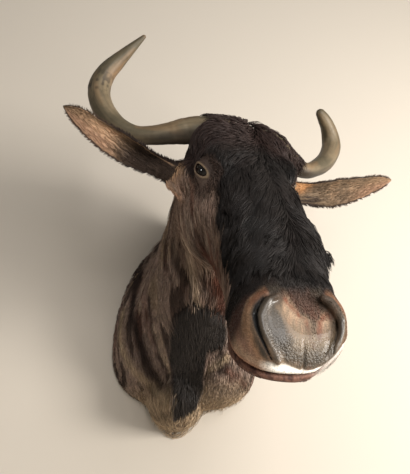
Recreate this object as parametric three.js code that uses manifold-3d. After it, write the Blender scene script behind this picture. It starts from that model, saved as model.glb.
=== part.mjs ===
// Blue wildebeest, head and neck, as a mounted specimen that hangs on a wall.
// Millimetres, +Z up. The wall is the plane y = 0 and the specimen stands out towards -Y.
// The origin is in the middle of the back board's rear face.
// The head is described in a frame of its own: X to the animal's left, Y from nose to poll,
// Z from jaw to forehead, with its origin half way between the eyes.

import * as THREE from 'three';
import { mergeVertices } from 'three/addons/utils/BufferGeometryUtils.js';
import Module from 'manifold-3d';

const wasm = await Module();
wasm.setup();

// Driving dimensions: the pose of the head and the places of its parts
const EYE_MIDDLE = [67.6, -430, 49.5];
const HEAD_YAW = 12.7;
const HEAD_PITCH = 58.2;
const HEAD_ROLL = 3.4;
const EYE_CENTRE = [70, 6, -2];
const EYE_AXIS = [0.84, -0.5, 0.2];
const EYE_RADIUS = 17;
const MOUTH_FRONT = [0, -360, -66];
const MOUTH_CORNER = [0, -236, -86];
const MUZZLE_BACK = -232;
const JAW_BACK = -60;
const MESH_GAP = 0.3;
const WALL_GAP = 1;
const HEAD_REACH = 210;
const NECK_REACH = 330;

// Driving dimensions: the back board and the rim of skin round it
const BOARD_THICKNESS = 18;
const RIM_WIDTH = 12;

// The head's section at a few places along Y: top, bottom, half width, height of the widest
// point, and the powers of the upper and lower half of the superellipse.
const HEAD_SECTIONS = [
  { at: -372, top: -18, bottom: -92, half: 67, widest: -54, upper: 2.6, lower: 2.6 },
  { at: -330, top: 0, bottom: -100, half: 74, widest: -52, upper: 2.7, lower: 2.6 },
  { at: -285, top: 12, bottom: -103, half: 72, widest: -50, upper: 2.5, lower: 2.4 },
  { at: -235, top: 22, bottom: -105, half: 66, widest: -44, upper: 2.3, lower: 2.2 },
  { at: -175, top: 33, bottom: -112, half: 63, widest: -42, upper: 2.3, lower: 2.1 },
  { at: -110, top: 43, bottom: -127, half: 65, widest: -40, upper: 2.3, lower: 2.0 },
  { at: -45, top: 48, bottom: -148, half: 70, widest: -36, upper: 2.4, lower: 1.9 },
  { at: 20, top: 50, bottom: -160, half: 76, widest: -34, upper: 2.5, lower: 1.9 },
  { at: 75, top: 42, bottom: -150, half: 74, widest: -30, upper: 2.4, lower: 2.0 },
  { at: 125, top: 20, bottom: -134, half: 60, widest: -34, upper: 2.2, lower: 2.0 },
];

// The neck's upright section at a few distances from the wall, as for the head.
const NECK_SECTIONS = [
  { at: 0, centre: 0, top: 116, bottom: -268, half: 158, widest: -138, upper: 2.0, lower: 2.6 },
  { at: 60, centre: 5, top: 150, bottom: -258, half: 142, widest: -122, upper: 1.3, lower: 2.4 },
  { at: 130, centre: 12, top: 178, bottom: -218, half: 112, widest: -80, upper: 1.3, lower: 2.2 },
  { at: 200, centre: 20, top: 194, bottom: -150, half: 84, widest: -20, upper: 1.7, lower: 2.1 },
  { at: 260, centre: 27, top: 200, bottom: -84, half: 69, widest: 40, upper: 2.0, lower: 2.0 },
  { at: 330, centre: 36, top: 192, bottom: -30, half: 66, widest: 80, upper: 2.0, lower: 2.0 },
  { at: 400, centre: 44, top: 166, bottom: 20, half: 60, widest: 96, upper: 2.0, lower: 2.0 },
];

// Horns: points on the middle line with the radius there, in the head's frame.
const RIGHT_HORN = [
  { x: 26, y: 98, z: 26, radius: 28 },
  { x: 71, y: 103, z: 19, radius: 26 },
  { x: 97, y: 105, z: 10, radius: 23 },
  { x: 122, y: 105, z: -1, radius: 19.5 },
  { x: 147, y: 106, z: -11, radius: 17 },
  { x: 173, y: 112, z: -20, radius: 16.5 },
  { x: 200, y: 131, z: -22, radius: 17.5 },
  { x: 220, y: 158, z: -18, radius: 19 },
  { x: 234, y: 186, z: -8, radius: 20.5 },
  { x: 238, y: 211, z: 6, radius: 20.5 },
  { x: 231, y: 230, z: 26, radius: 18.5 },
  { x: 215, y: 243, z: 48, radius: 15.5 },
  { x: 192, y: 255, z: 78, radius: 9.5 },
  { x: 180, y: 261, z: 96, radius: 5.5 },
];
const LEFT_HORN = [
  { x: 26, y: 98, z: 26, radius: 28 },
  { x: 71, y: 103, z: 19, radius: 26 },
  { x: 97, y: 104, z: 9, radius: 23 },
  { x: 125, y: 105, z: -1, radius: 19.5 },
  { x: 151, y: 109, z: -8, radius: 17 },
  { x: 176, y: 127, z: -11, radius: 17 },
  { x: 202, y: 154, z: -12, radius: 18.5 },
  { x: 222, y: 180, z: -7, radius: 19.5 },
  { x: 234, y: 205, z: 4, radius: 20 },
  { x: 231, y: 219, z: 18, radius: 18 },
  { x: 219, y: 227, z: 35, radius: 15.5 },
  { x: 204, y: 229, z: 49, radius: 13 },
  { x: 188, y: 234, z: 61, radius: 8 },
];

// Ears: from the root in the head to the tip, in the head's frame.
const EAR_ROOT = [92, 46, -45];
const EAR_TIP = [300, 69, 20];
const EAR_LINE = [EAR_TIP[0] - EAR_ROOT[0], EAR_TIP[1] - EAR_ROOT[1], EAR_TIP[2] - EAR_ROOT[2]];
const EAR_OPENING = [0.1, -0.94, 0.3];
const EAR_SKIN = 4;
const EAR_SECTIONS = [
  { at: 0.0, width: 40, depth: 20, cup: -0.9 },
  { at: 0.1, width: 40, depth: 20, cup: -0.8 },
  { at: 0.18, width: 43, depth: 22, cup: -0.1 },
  { at: 0.26, width: 48, depth: 24, cup: 0.7 },
  { at: 0.38, width: 58, depth: 24, cup: 1 },
  { at: 0.52, width: 64, depth: 20, cup: 1 },
  { at: 0.66, width: 61, depth: 15, cup: 1 },
  { at: 0.8, width: 48, depth: 10, cup: 1 },
  { at: 0.92, width: 29, depth: 6, cup: 1 },
  { at: 1.0, width: 9, depth: 3.4, cup: 0 },
];

// Lids: the opening's half width and half height, and the roll of skin round it
const LID = { halfWidth: 14.5, halfHeight: 11.5, reach: 19.4, roll: 2.9 };

// Nostrils: the middle line of the slit on the animal's left, in the head's frame
const NOSTRIL = [
  { x: 57, y: -290, z: 1, radius: 3 },
  { x: 57, y: -312, z: -9, radius: 5 },
  { x: 53, y: -332, z: -17, radius: 5.5 },
  { x: 44, y: -350, z: -29, radius: 3 },
];
const NOSTRIL_DEPTH = 9;
const LIP_GROOVE = 3;
const HORN_CLEARANCE = 0.8;
const HAIR_SEED = 20;

// Hair that is long enough to stand out from the coat, one entry for each place
const LOCK_SINK = 6;
const LOCK_STEPS = 4;
const LOCK_RISE = 0.3;
const EYE_CLEARANCE = 34;
const EAR_CLEARANCE = 42;
const FACE_LOCKS = {
  rows: 8,
  front: -218,
  back: 60,
  sideBelow: 94,
  sideAbove: 58,
  spacing: 32,
  long: 80,
  wide: 32,
  thick: 4,
  stand: 10,
  hang: 0,
  loose: false,
  twist: 0.15,
};
const CROWN_LOCKS = {
  count: 10,
  side: 66,
  front: 88,
  back: 112,
  long: 62,
  wide: 27,
  thick: 4.4,
  stand: 11,
  hang: 0,
  loose: false,
  twist: 0.2,
};
const BEARD_LOCKS = {
  spacing: 29,
  long: 108,
  wide: 28,
  thick: 4.4,
  stand: 12,
  hang: 1.1,
  loose: true,
  twist: 0.5,
};
const CHEEK_LOCKS = {
  count: 5,
  throatSide: 34,
  napeSide: 92,
  near: 246,
  far: 262,
  long: 100,
  wide: 23,
  thick: 4,
  stand: 6,
  hang: 0.1,
  loose: false,
  twist: 0.1,
};
const MANE_LOCKS = {
  rows: 9,
  near: 34,
  far: 318,
  spread: 30,
  long: 84,
  wide: 30,
  thick: 4.4,
  stand: 18,
  hang: 0.06,
  loose: false,
  twist: 0.12,
};
const BEARD_ROWS = [
  { height: -82, left: 44, right: -6 },
  { height: -108, left: 56, right: -16 },
  { height: -134, left: 60, right: -28 },
  { height: -160, left: 56, right: -34 },
  { height: -184, left: 44, right: -38 },
];

// Colour and roughness of each kind of surface
const COAT = { color: 0x6e6250, roughness: 0.85 };
const FACE = { color: 0x2e2823, roughness: 0.8 };
const MUZZLE = { color: 0x6a5044, roughness: 0.7 };
const EAR = { color: 0x8d7358, roughness: 0.85 };
const HORN = { color: 0x77705c, roughness: 0.5 };
const EYE = { color: 0x120d0a, roughness: 0.08 };
const BOARD = { color: 0xb08a5c, roughness: 0.75 };

// Small vector and number helpers
const add = (a, b) => [a[0] + b[0], a[1] + b[1], a[2] + b[2]];
const sub = (a, b) => [a[0] - b[0], a[1] - b[1], a[2] - b[2]];
const scale = (a, s) => [a[0] * s, a[1] * s, a[2] * s];
const dot = (a, b) => a[0] * b[0] + a[1] * b[1] + a[2] * b[2];
const length = (a) => Math.hypot(a[0], a[1], a[2]);
const unit = (a) => scale(a, 1 / length(a));
const cross = (a, b) => [
  a[1] * b[2] - a[2] * b[1],
  a[2] * b[0] - a[0] * b[2],
  a[0] * b[1] - a[1] * b[0],
];
const mix = (a, b, t) => a + (b - a) * t;
const along = (a, b, t) => add(scale(a, 1 - t), scale(b, t));

// Smooth union and smooth cut of two signed distances
function join(a, b, blend) {
  const h = Math.max(blend - Math.abs(a - b), 0) / blend;
  return Math.min(a, b) - (h * h * blend) / 4;
}
const carve = (a, b, blend) => -join(-a, b, blend);
const limit = (a, b, blend) => -join(-a, -b, blend);

// Head frame to the part's frame and back
const headRotation = new THREE.Matrix4()
  .makeRotationZ(THREE.MathUtils.degToRad(HEAD_YAW))
  .multiply(new THREE.Matrix4().makeRotationX(THREE.MathUtils.degToRad(HEAD_PITCH)))
  .multiply(new THREE.Matrix4().makeRotationY(THREE.MathUtils.degToRad(HEAD_ROLL)));
const turn = headRotation.elements;
const HEAD_LEFT = [turn[0], turn[1], turn[2]];
const HEAD_BACK = [turn[4], turn[5], turn[6]];
const HEAD_UP = [turn[8], turn[9], turn[10]];
const headAxis = (p) =>
  add(add(scale(HEAD_LEFT, p[0]), scale(HEAD_BACK, p[1])), scale(HEAD_UP, p[2]));
const fromHead = (p) => add(EYE_MIDDLE, headAxis(p));
function toHead(p) {
  const d = sub(p, EYE_MIDDLE);
  return [dot(d, HEAD_LEFT), dot(d, HEAD_BACK), dot(d, HEAD_UP)];
}

// A row of sections read at any place, by smooth cubic steps between the rows
function sectionAt(rows, at) {
  const last = rows.length - 2;
  let i = 0;
  while (i < last && at > rows[i + 1].at) i += 1;
  const a = rows[i];
  const b = rows[i + 1];
  const before = rows[Math.max(i - 1, 0)];
  const after = rows[Math.min(i + 2, rows.length - 1)];
  const span = b.at - a.at;
  const t = Math.min(Math.max((at - a.at) / span, 0), 1);
  const section = {};
  for (const key of Object.keys(a)) {
    const slopeA = ((b[key] - before[key]) / (b.at - before.at)) * span;
    const slopeB = ((after[key] - a[key]) / (after.at - a.at)) * span;
    const rise = b[key] - a[key];
    section[key] =
      a[key] + slopeA * t + (3 * rise - 2 * slopeA - slopeB) * t * t
      + (slopeA + slopeB - 2 * rise) * t * t * t;
  }
  return section;
}

// Distance to the outline of one section, measured from its middle
function sectionDistance(across, up, section) {
  const rise = up - section.widest;
  const reach = rise > 0 ? section.top - section.widest : section.widest - section.bottom;
  const power = rise > 0 ? section.upper : section.lower;
  const share = Math.pow(Math.abs(across) / section.half, power)
    + Math.pow(Math.abs(rise) / reach, power);
  const ratio = Math.pow(share, 1 / power);
  const radius = Math.hypot(across, rise);
  return ratio < 0.05 ? -Math.min(section.half, reach) : radius - radius / ratio;
}

// Distance to an ellipsoid with its axes along the frame's axes, nearly true close to it
function ellipsoid(p, centre, radii) {
  const d = sub(p, centre);
  const k = Math.hypot(d[0] / radii[0], d[1] / radii[1], d[2] / radii[2]);
  const g = Math.hypot(
    d[0] / (radii[0] * radii[0]),
    d[1] / (radii[1] * radii[1]),
    d[2] / (radii[2] * radii[2]),
  );
  return g < 1e-6 ? -Math.min(...radii) : (k * (k - 1)) / g;
}

// The head's swellings, given for the left side and mirrored
const FACE_SWELLING = { centre: [47, -104, 12], radii: [25, 92, 33], blend: 14 };
const HEAD_SWELLINGS = [
  { centre: [58, 10, 6], radii: [24, 34, 26], blend: 14 },
  { centre: [54, 6, 28], radii: [22, 34, 15], blend: 16 },
  { centre: [62, -40, -36], radii: [15, 62, 16], blend: 20 },
  { centre: [44, 6, -92], radii: [30, 70, 56], blend: 30 },
  { centre: [40, 90, 14], radii: [54, 38, 40], blend: 24 },
  { centre: [92, 48, -44], radii: [26, 26, 25], blend: 22 },
  { centre: [50, -312, -16], radii: [23, 32, 26], blend: 12 },
  { centre: [34, -330, -52], radii: [40, 32, 20], blend: 14 },
  { centre: [20, -316, -86], radii: [42, 38, 20], blend: 14 },
];
const ORBIT = { radius: 24, behind: 11 };
const EYE_DISH = { radius: 24, ahead: 38 };

const EYE_LOOK = unit(EYE_AXIS);

// The front of the muzzle: a rounded face that leans back over the nostrils
function muzzleFront(p) {
  const lean = p[2] > -52 ? 0.0165 * (p[2] + 52) ** 2 : 0.016 * (p[2] + 52) ** 2;
  const side = 26 * Math.pow(Math.abs(p[0]) / 72, 3.2);
  return -362 + lean + side - p[1];
}

// Signed distance to the head, p in the head's frame
function headShape(p) {
  let d = sectionDistance(p[0], p[2], sectionAt(HEAD_SECTIONS, p[1]));
  const mirrored = [Math.abs(p[0]), p[1], p[2]];
  for (const bump of [...HEAD_SWELLINGS, FACE_SWELLING]) {
    d = join(d, ellipsoid(mirrored, bump.centre, bump.radii), bump.blend);
  }
  const orbit = add(EYE_CENTRE, scale(EYE_LOOK, -ORBIT.behind));
  const dish = add(EYE_CENTRE, scale(EYE_LOOK, EYE_DISH.ahead));
  d = join(d, length(sub(mirrored, orbit)) - ORBIT.radius, 10);
  d = carve(d, length(sub(mirrored, dish)) - EYE_DISH.radius, 8);
  d = limit(d, 0.8 * muzzleFront(p), 26);
  return limit(d, p[1] - 150, 60);
}

// Signed distance to the neck, p in the part's frame
function neckShape(p) {
  const section = sectionAt(NECK_SECTIONS, -p[1]);
  let d = sectionDistance(p[0] - section.centre, p[2], section);
  d = join(d, ellipsoid(p, [-19, -16, -244], [62, 112, 70]), 14);
  d = join(d, ellipsoid(p, [62, -50, -196], [78, 116, 72]), 22);
  return limit(d, -400 - p[1], 60);
}

// Signed distance to the flesh and short coat of the whole specimen
function bodyShape(p) {
  return join(neckShape(p), headShape(toHead(p)), 46);
}

// Closed bodies and the joins and cuts between them
function toSolid(geometry) {
  const bare = geometry.clone();
  bare.deleteAttribute('normal');
  bare.deleteAttribute('uv');
  const merged = mergeVertices(bare, 1e-4);
  return new wasm.Manifold(new wasm.Mesh({
    numProp: 3,
    vertProperties: new Float32Array(merged.attributes.position.array),
    triVerts: new Uint32Array(merged.index.array),
  }));
}

function solidFrom(points, triangles) {
  const geometry = new THREE.BufferGeometry();
  geometry.setAttribute('position', new THREE.Float32BufferAttribute(points.flat(), 3));
  geometry.setIndex(triangles.flat());
  return toSolid(geometry);
}

function toGeometry(solid) {
  const mesh = solid.getMesh();
  const geometry = new THREE.BufferGeometry();
  geometry.setAttribute('position', new THREE.BufferAttribute(mesh.vertProperties, 3));
  geometry.setIndex(new THREE.BufferAttribute(mesh.triVerts, 1));
  return geometry;
}

function largest(solid) {
  const pieces = solid.decompose();
  return pieces.reduce((best, piece) => (piece.volume() > best.volume() ? piece : best));
}

// A closed skin over rings of points, with each end gathered at one point
function skinRings(rings, startPoint, endPoint) {
  const count = rings[0].length;
  const points = [startPoint, ...rings.flat(), endPoint];
  const triangles = [];
  const vertex = (ring, i) => 1 + ring * count + (i % count);
  for (let i = 0; i < count; i += 1) {
    triangles.push([0, vertex(0, i + 1), vertex(0, i)]);
    triangles.push([points.length - 1, vertex(rings.length - 1, i), vertex(rings.length - 1, i + 1)]);
    for (let ring = 0; ring + 1 < rings.length; ring += 1) {
      const a = vertex(ring, i);
      const b = vertex(ring, i + 1);
      const c = vertex(ring + 1, i + 1);
      const e = vertex(ring + 1, i);
      triangles.push([a, b, c], [a, c, e]);
    }
  }
  return solidFrom(points, triangles);
}

// A half space as a large box whose one face lies in the plane, on the side of the normal
function halfSpace(point, normal, gap) {
  const size = 1400;
  const box = new THREE.BoxGeometry(size, size, size);
  const centre = add(point, scale(unit(normal), size / 2 + gap));
  const face = new THREE.Quaternion().setFromUnitVectors(
    new THREE.Vector3(0, 0, 1),
    new THREE.Vector3(...unit(normal)),
  );
  box.applyQuaternion(face);
  box.translate(...centre);
  return toSolid(box);
}

// How far a ray from inside goes before it leaves the shape
function reachOut(shape, origin, direction, level, farthest) {
  const stride = 7;
  let inner = 0;
  let outer = stride;
  while (outer < farthest && shape(add(origin, scale(direction, outer))) < level) {
    inner = outer;
    outer += stride;
  }
  if (outer >= farthest) return farthest;
  for (let i = 0; i < 14; i += 1) {
    const middle = (inner + outer) / 2;
    if (shape(add(origin, scale(direction, middle))) < level) inner = middle;
    else outer = middle;
  }
  return (inner + outer) / 2;
}

// A body found by rays that fan out from a line, ring by ring, with round ends.
// The rings lie closer together towards both ends of the line.
const RING_CROWDING = 0.07;
function rayBody({ shape, start, end, rings, startFan, endFan, around, side, up, level, farthest }) {
  const axis = unit(sub(end, start));
  const frames = [];
  for (let i = 1; i <= startFan; i += 1) {
    frames.push({ origin: start, tilt: (-Math.PI / 2) * (1 - i / (startFan + 1)) });
  }
  for (let i = 0; i <= rings; i += 1) {
    const share = i / rings;
    const place = share - RING_CROWDING * Math.sin(2 * Math.PI * share);
    frames.push({ origin: along(start, end, place), tilt: 0 });
  }
  for (let i = 1; i <= endFan; i += 1) {
    frames.push({ origin: end, tilt: (Math.PI / 2) * (i / (endFan + 1)) });
  }
  const cast = (origin, direction) =>
    add(origin, scale(direction, reachOut(shape, origin, direction, level, farthest)));
  const skin = frames.map(({ origin, tilt }) => {
    const ring = [];
    for (let i = 0; i < around; i += 1) {
      const angle = (2 * Math.PI * i) / around;
      const spoke = add(scale(side, Math.cos(angle)), scale(up, Math.sin(angle)));
      ring.push(cast(origin, add(scale(spoke, Math.cos(tilt)), scale(axis, Math.sin(tilt)))));
    }
    return ring;
  });
  return skinRings(skin, cast(start, scale(axis, -1)), cast(end, axis));
}

// A seeded row of numbers from 0 to 1
function seeded(seed) {
  let state = seed;
  return () => {
    state = (state + 0x6d2b79f5) | 0;
    let t = Math.imul(state ^ (state >>> 15), 1 | state);
    t = (t + Math.imul(t ^ (t >>> 7), 61 | t)) ^ t;
    return ((t ^ (t >>> 14)) >>> 0) / 4294967296;
  };
}

// The direction straight out of the body at a point
function outward(p) {
  const e = 2;
  const slope = [[e, 0, 0], [0, e, 0], [0, 0, e]].map(
    (step) => bodyShape(add(p, step)) - bodyShape(sub(p, step)),
  );
  return unit(slope);
}

// The middle line of a lock: out of its root, then over the coat and away from it like a
// shingle. A loose lock may also hang clear of the coat.
function lockPath({ root, lie, long, stand, curl, hang, loose }) {
  const stride = long / LOCK_STEPS;
  let normal = outward(root);
  const path = [{ point: add(root, scale(normal, -LOCK_SINK)), normal }];
  let point = root;
  let heading = unit(lie);
  for (let i = 1; i <= LOCK_STEPS; i += 1) {
    const share = i / LOCK_STEPS;
    const turned = add(heading, scale(cross(normal, heading), curl / LOCK_STEPS));
    const flat = unit(sub(turned, scale(normal, dot(turned, normal))));
    const next = add(point, scale(unit(add(flat, [0, 0, -hang * share])), stride));
    normal = outward(next);
    const lift = stand * mix(LOCK_RISE, 1, share) - bodyShape(next);
    const settled = add(next, scale(normal, loose ? Math.max(lift, 0) : lift));
    heading = unit(sub(settled, point));
    point = settled;
    path.push({ point, normal });
  }
  return path;
}

// A flat lock that widens from its root and tapers to a tip
function lockBody(lock) {
  const path = lockPath(lock);
  const rings = path.slice(0, LOCK_STEPS).map(({ point, normal }, i) => {
    const share = i / LOCK_STEPS;
    const before = path[Math.max(i - 1, 0)].point;
    const heading = unit(sub(path[i + 1].point, before));
    const flat = unit(cross(heading, normal));
    const face = cross(flat, heading);
    const side = add(scale(flat, Math.cos(lock.twist)), scale(face, Math.sin(lock.twist)));
    const up = cross(side, heading);
    const spread = share < 0.3 ? 0.8 + share * 0.8 : 1.04 - 0.8 * Math.pow((share - 0.3) / 0.7, 1.6);
    const wide = (lock.wide / 2) * spread;
    const thick = (lock.thick / 2) * (1 - 0.5 * share);
    return [
      add(point, scale(side, wide)),
      add(point, scale(up, -thick)),
      add(point, scale(side, -wide)),
      add(point, scale(up, thick)),
    ];
  });
  return skinRings(rings, path[0].point, path[LOCK_STEPS].point);
}

// A place on the body where a ray from inside comes out
const surfaceFrom = (origin, direction) =>
  add(origin, scale(direction, reachOut(bodyShape, origin, direction, 0, NECK_REACH)));

const between = (random, low, high) => mix(low, high, random());

// A lock with its sizes varied a little about those of its place
function varied(random, size, root, lie) {
  return {
    root,
    lie,
    long: size.long * between(random, 0.8, 1.15),
    wide: size.wide * between(random, 0.85, 1.15),
    thick: size.thick,
    stand: size.stand * between(random, 0.75, 1.25),
    hang: size.hang,
    loose: size.loose,
    twist: between(random, -1, 1) * size.twist,
    curl: between(random, -0.5, 0.5),
  };
}

// Face: rows from the forehead to the muzzle, parted on the ridge and combed down and out
function faceLocks(random) {
  const locks = [];
  for (let row = 0; row < FACE_LOCKS.rows; row += 1) {
    const y = mix(FACE_LOCKS.front, FACE_LOCKS.back, row / (FACE_LOCKS.rows - 1));
    const above = Math.min(Math.max((y + 130) / 90, 0), 1);
    const widest = mix(FACE_LOCKS.sideBelow, FACE_LOCKS.sideAbove, above);
    const columns = 2 * Math.round(widest / FACE_LOCKS.spacing) + (row % 2);
    for (let column = 0; column < columns; column += 1) {
      const share = column / (columns - 1);
      const angle = THREE.MathUtils.degToRad(mix(-widest, widest, share) + between(random, -4, 4));
      const origin = fromHead([0, y + between(random, -6, 6), -40]);
      const root = surfaceFrom(origin, headAxis([Math.sin(angle), 0, Math.cos(angle)]));
      const lie = headAxis([0.75 * Math.sin(angle), -1, -0.35 * Math.abs(Math.sin(angle))]);
      const lock = varied(random, FACE_LOCKS, root, lie);
      const stand = lock.stand * (1 + 0.3 * Math.max(share * 2 - 1, 0));
      locks.push({ ...lock, stand, long: Math.min(lock.long, y + 282) });
    }
  }
  return locks;
}

// Crown: a fringe between the horns that falls over the forehead and to both sides
function crownLocks(random) {
  const locks = [];
  for (let i = 0; i < CROWN_LOCKS.count; i += 1) {
    const share = i / (CROWN_LOCKS.count - 1);
    const angle = THREE.MathUtils.degToRad(mix(-CROWN_LOCKS.side, CROWN_LOCKS.side, share));
    const y = i % 2 ? CROWN_LOCKS.back : CROWN_LOCKS.front;
    const root = surfaceFrom(fromHead([0, y, -40]), headAxis([Math.sin(angle), 0, Math.cos(angle)]));
    const lie = headAxis([1.1 * Math.sin(angle), -1, 0.1]);
    locks.push(varied(random, CROWN_LOCKS, root, lie));
  }
  return locks;
}

// Beard: rows down the front of the throat that hang and close to one tip
function beardLocks(random) {
  const locks = [];
  for (const [index, row] of BEARD_ROWS.entries()) {
    const columns = Math.round((row.left - row.right) / BEARD_LOCKS.spacing) + 1;
    for (let column = 0; column < columns; column += 1) {
      const share = (column + 0.25 + 0.5 * (index % 2)) / columns;
      const x = mix(row.right, row.left, share) + between(random, -3, 3);
      const root = surfaceFrom([x, -60, row.height + between(random, -6, 6)], [0, -1, 0]);
      const lie = [mix(0.1, -0.6, share), -0.1, -1];
      const lock = varied(random, BEARD_LOCKS, root, lie);
      locks.push({ ...lock, stand: lock.stand * (0.6 + 1.6 * share * (1 - share)) });
    }
  }
  return locks;
}

// Cheeks: long pale hair that hangs behind the jaw on both sides
function cheekLocks(random) {
  const locks = [];
  for (const sign of [-1, 1]) {
    for (let i = 0; i < CHEEK_LOCKS.count; i += 1) {
      const place = i / (CHEEK_LOCKS.count - 1);
      const round = mix(CHEEK_LOCKS.throatSide, CHEEK_LOCKS.napeSide, place);
      const angle = THREE.MathUtils.degToRad(-90 + sign * round);
      const distance = between(random, CHEEK_LOCKS.near, CHEEK_LOCKS.far);
      const origin = [26, -distance, 46];
      const root = surfaceFrom(origin, [Math.cos(angle), 0, Math.sin(angle)]);
      locks.push(varied(random, CHEEK_LOCKS, root, [0.05 * sign, 0.22, -1]));
    }
  }
  return locks;
}

// Mane: rows along the nape that lean back to the wall and fall to both sides
function maneLocks(random) {
  const locks = [];
  for (let row = 0; row < MANE_LOCKS.rows; row += 1) {
    const distance = mix(MANE_LOCKS.near, MANE_LOCKS.far, row / (MANE_LOCKS.rows - 1));
    const section = sectionAt(NECK_SECTIONS, distance);
    const origin = [section.centre, -distance, section.top - 70];
    for (const lean of [-1, 0, 1]) {
      const round = 90 - lean * MANE_LOCKS.spread + between(random, -5, 5);
      const angle = THREE.MathUtils.degToRad(round);
      const root = surfaceFrom(origin, [Math.cos(angle), 0, Math.sin(angle)]);
      const fall = lean === 0 ? (row % 2 ? 0.3 : -0.3) : lean * 0.9;
      locks.push(varied(random, MANE_LOCKS, root, [fall, 0.85, lean === 0 ? 0.2 : -0.45]));
    }
  }
  return locks;
}

// Locks that come too close to an eye or an ear are left out, and the rest become one body
function fuse(locks) {
  const near = (point) => {
    const p = toHead(point);
    const mirrored = [Math.abs(p[0]), p[1], p[2]];
    const reach = dot(sub(mirrored, EAR_ROOT), EAR_LINE) / dot(EAR_LINE, EAR_LINE);
    const share = Math.min(Math.max(reach, 0), 1);
    const ear = length(sub(mirrored, add(EAR_ROOT, scale(EAR_LINE, share))));
    return length(sub(mirrored, EYE_CENTRE)) < EYE_CLEARANCE || ear < EAR_CLEARANCE;
  };
  const kept = locks.filter((lock) => !lockPath(lock).some(({ point }) => near(point)));
  return kept.map(lockBody).reduce((whole, lock) => whole.add(lock));
}

// The head and the neck as two bodies of one shape, parted by a thin cut behind the jaw
const THROAT = [20, -262, -40];
const NAPE = [38, -322, 200];
const NECK_NORMAL = unit(cross(sub(NAPE, THROAT), [1, 0.12, 0]));
const NECK_CUT = NECK_NORMAL[1] > 0 ? NECK_NORMAL : scale(NECK_NORMAL, -1);

function headBody(level) {
  return rayBody({
    shape: bodyShape,
    start: fromHead([0, 70, -42]),
    end: fromHead([0, -292, -46]),
    rings: 18,
    startFan: 6,
    endFan: 9,
    around: 40,
    side: HEAD_LEFT,
    up: HEAD_UP,
    level,
    farthest: HEAD_REACH,
  });
}

// Round the neck the points lie closer together low down, where the brisket is
const NECK_CROWDING = 0.34;
function neckBody() {
  const rings = [];
  const count = 17;
  const around = 56;
  for (let i = 0; i <= count; i += 1) {
    const share = Math.pow(i / count, 1.25);
    const distance = mix(WALL_GAP, 300, share);
    const section = sectionAt(NECK_SECTIONS, distance);
    const halfHeight = (section.top + section.bottom) / 2;
    const origin = [section.centre, -distance, (section.widest + halfHeight) / 2];
    const lean = unit(along([0, 0, 1], unit(sub(NAPE, THROAT)), share));
    const ring = [];
    for (let j = 0; j < around; j += 1) {
      const even = (2 * Math.PI * j) / around;
      const angle = even + NECK_CROWDING * (1 - share) * Math.cos(even);
      const spoke = unit(add([Math.cos(angle), 0, 0], scale(lean, Math.sin(angle))));
      ring.push(add(origin, scale(spoke, reachOut(bodyShape, origin, spoke, 0, NECK_REACH))));
    }
    rings.push(ring);
  }
  const middle = (ring) => scale(ring.reduce(add), 1 / ring.length);
  return skinRings(rings, middle(rings[0]), middle(rings[count]));
}

// The back board fills a recess in the neck's rear, inside a rim of skin
function boardBody(margin, front, rear) {
  const outline = [];
  const around = 44;
  const section = sectionAt(NECK_SECTIONS, WALL_GAP);
  const middle = [section.centre, -WALL_GAP, -100];
  for (let j = 0; j < around; j += 1) {
    const angle = (2 * Math.PI * j) / around;
    const spoke = [Math.cos(angle), 0, Math.sin(angle)];
    const reach = reachOut(bodyShape, middle, spoke, 0, NECK_REACH) - RIM_WIDTH + margin;
    outline.push(new THREE.Vector2(middle[0] + reach * spoke[0], middle[2] + reach * spoke[2]));
  }
  const board = new THREE.ExtrudeGeometry(new THREE.Shape(outline), {
    depth: front - rear,
    bevelEnabled: false,
    steps: 1,
  });
  board.rotateX(Math.PI / 2);
  board.translate(0, -rear, 0);
  return toSolid(board);
}

// A tube with a round section along points that carry a radius
function taperedTube(rows, steps, sides, swell) {
  const curve = new THREE.CatmullRomCurve3(
    rows.map((row) => new THREE.Vector3(row.x, row.y, row.z)),
    false,
    'centripetal',
  );
  const radii = new THREE.CatmullRomCurve3(
    rows.map((row, i) => new THREE.Vector3(i / (rows.length - 1), row.radius, 0)),
  );
  const rings = [];
  let side = new THREE.Vector3(0, 0, 1);
  for (let i = 0; i <= steps; i += 1) {
    const share = i / steps;
    const centre = curve.getPoint(share);
    const tangent = curve.getTangent(share);
    side = side.clone().addScaledVector(tangent, -side.dot(tangent)).normalize();
    const other = new THREE.Vector3().crossVectors(tangent, side);
    const radius = radii.getPoint(share).y + swell;
    const ring = [];
    for (let j = 0; j < sides; j += 1) {
      const angle = (2 * Math.PI * j) / sides;
      const point = centre.clone()
        .addScaledVector(side, radius * Math.cos(angle))
        .addScaledVector(other, radius * Math.sin(angle));
      ring.push(point.toArray());
    }
    rings.push(ring);
  }
  const first = rows[0];
  const overhang = rows[rows.length - 1].radius * 0.8 + swell;
  const tip = curve.getPoint(1).addScaledVector(curve.getTangent(1), overhang);
  return { rings, start: [first.x, first.y, first.z], end: tip.toArray() };
}

// A list of rings moved from the head's frame, mirrored for the animal's right side
function placeRings(shape, sign) {
  const place = (p) => fromHead([p[0] * sign, p[1], p[2]]);
  const rings = shape.rings.map((ring) => {
    const placed = ring.map(place);
    return sign < 0 ? placed.reverse() : placed;
  });
  return skinRings(rings, place(shape.start), place(shape.end));
}

const hornBody = (rows, sign, swell) => placeRings(taperedTube(rows, 22, 10, swell), sign);

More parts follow.
